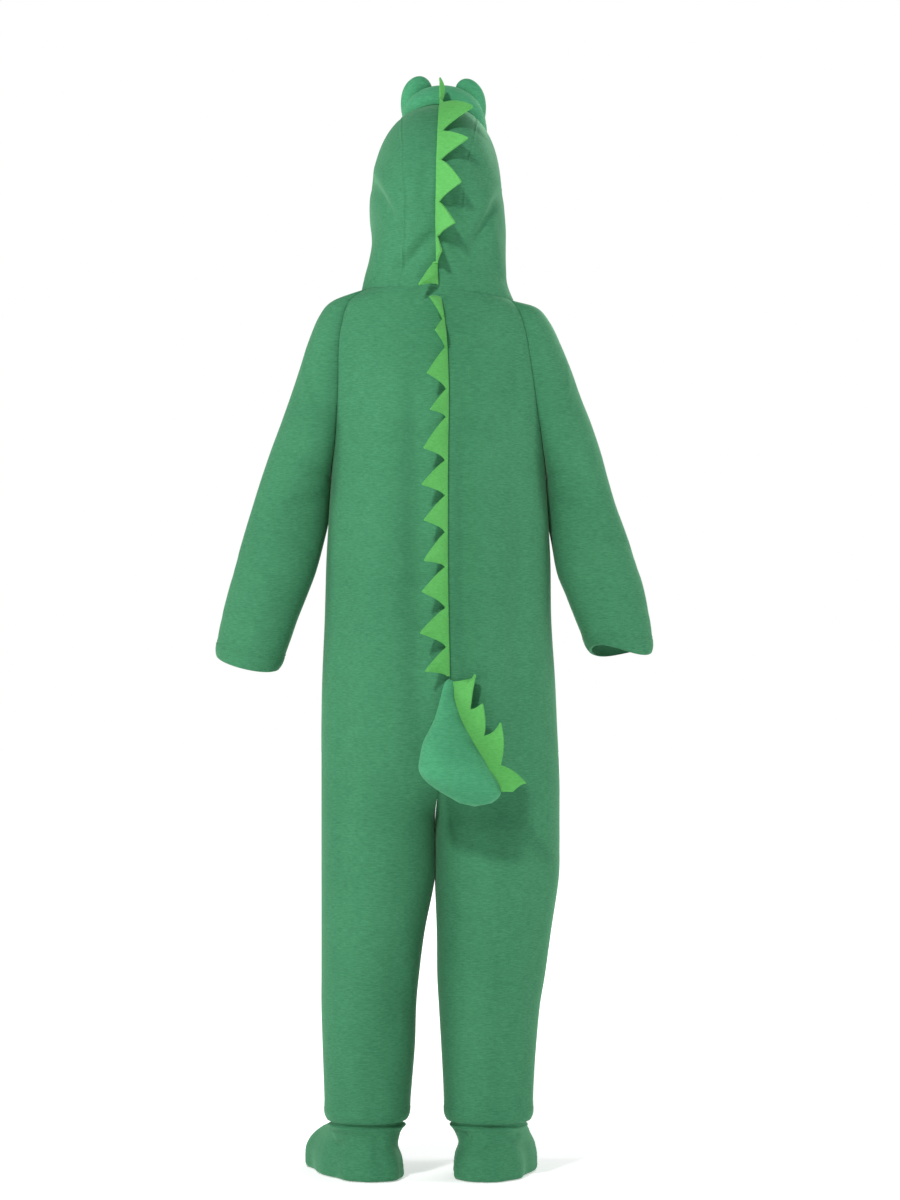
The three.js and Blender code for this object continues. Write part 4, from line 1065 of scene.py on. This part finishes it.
def tail_stations():
    """The stations of the tail's strip: the teeth turn from the tail's own outward way, at their
    valleys, to the lean in the table, at their tips."""
    parts = {"point": [], "out": [], "lean": [], "sweep": [], "bow": [], "height": []}
    for k in range(len(tail_teeth["start"])):
        last_tooth = k == len(tail_teeth["start"]) - 1
        share = np.linspace(0, 1, steps_in_tooth)[:None if last_tooth else -1]
        place = tail_teeth["start"][k] + (tail_teeth["end"][k] - tail_teeth["start"][k]) * share
        point = tail_points(place, tail_strip_turn)
        way = unit(tail_points(place + 0.05, tail_strip_turn) - tail_points(place - 0.05, tail_strip_turn))
        centre = np.stack([along(tail[name], place) for name in ("x", "y", "z")], -1) * mm
        out = point - centre
        out = unit(out - way * np.sum(out * way, -1, keepdims=True))
        ends = tail_points(np.array([tail_teeth["start"][k], tail_teeth["end"][k]]), tail_strip_turn)
        length = np.linalg.norm(ends[1] - ends[0])
        rise = np.where(share < 0.5, 2 * share, 2 - 2 * share)
        aim = np.array([tail_teeth[name][k] for name in ("lean", "outward", "up")])
        parts["point"].append(point)
        parts["out"].append(out)
        lean = unit(aim * rise[:, None] + out * (1 - rise)[:, None])
        parts["lean"].append(lean)
        parts["bow"].append(unit(np.cross(lean, way)) * (tail_bow * rise)[:, None])
        parts["sweep"].append(way * ((tail_teeth["tip"][k] - 0.5) * length * rise)[:, None])
        low = np.where(share < 0.5, tail_teeth["low"][k], tail_valley)
        parts["height"].append(low + (tail_teeth["high"][k] - low) * rise)
    return {name: np.concatenate(part) for name, part in parts.items()}


felt_strip("spikes_tail_felt", tail_stations(), "spikes_tail")

# The leg hems and the cuffs are held by rows of small stitches in thread of the same green. The
# edge round the face has none.
thread = cloth_material("thread_green", (40, 104, 68), (84, 152, 110), 0.3 * mm, 0.05 * mm, 0.2)
stitch_pitch = 4.2 * mm
stitch_size = np.array([1.5, 0.35, 0.3]) * mm
stitch_lift = 0.1 * mm


def stitch_frames(points, normals):
    """The middles of the stitches along a line, with the ways along it, across it and out of it."""
    travelled = np.concatenate([[0], np.cumsum(np.linalg.norm(np.diff(points, axis=0), axis=-1))])
    places = np.arange(stitch_pitch / 2, travelled[-1], stitch_pitch)

    def at(values, where):
        return np.stack([np.interp(where, travelled, column) for column in values.T], -1)

    way = unit(at(points, places + 0.5 * mm) - at(points, places - 0.5 * mm))
    out = unit(at(normals, places))
    return at(points, places) + out * stitch_lift, way, unit(np.cross(out, way)), out


def stitches(name, lines):
    """One mesh of all stitches: each is a six-sided bead, long along its line, with a point at both
    ends."""
    frames = [np.concatenate(parts) for parts in zip(*(stitch_frames(*line) for line in lines))]
    middle, *axes = [part[:, None] for part in frames]
    turn = np.linspace(0, 2 * np.pi, 6, endpoint=False)
    rings = [np.stack([np.full(6, end), thick * np.cos(turn), thick * np.sin(turn)], -1)
             for end, thick in ((-0.7, 0.7), (0, 1), (0.7, 0.7))]
    bead = np.concatenate([[[-1, 0, 0]], *rings, [[1, 0, 0]]]) * stitch_size
    points = middle + sum(bead[None, :, k, None] * axes[k] for k in range(3))
    first = np.arange(6)
    after = (first + 1) % 6
    start = np.stack([np.zeros_like(first), 1 + after, 1 + first], -1)
    end = np.stack([np.full_like(first, 19), 13 + first, 13 + after], -1)
    walls = [np.stack([a + first, a + after, a + 6 + after, a + 6 + first], -1) for a in (1, 7)]
    shifts = (np.arange(len(points)) * len(bead))[:, None, None]
    groups = [(group + shifts).reshape(-1, group.shape[1]) for group in (start, end, *walls)]
    faces = [face for group in groups for face in group]
    return make_mesh(name, points.reshape(-1, 3), faces, thread)


stitches("hem_stitches", stitch_lines)
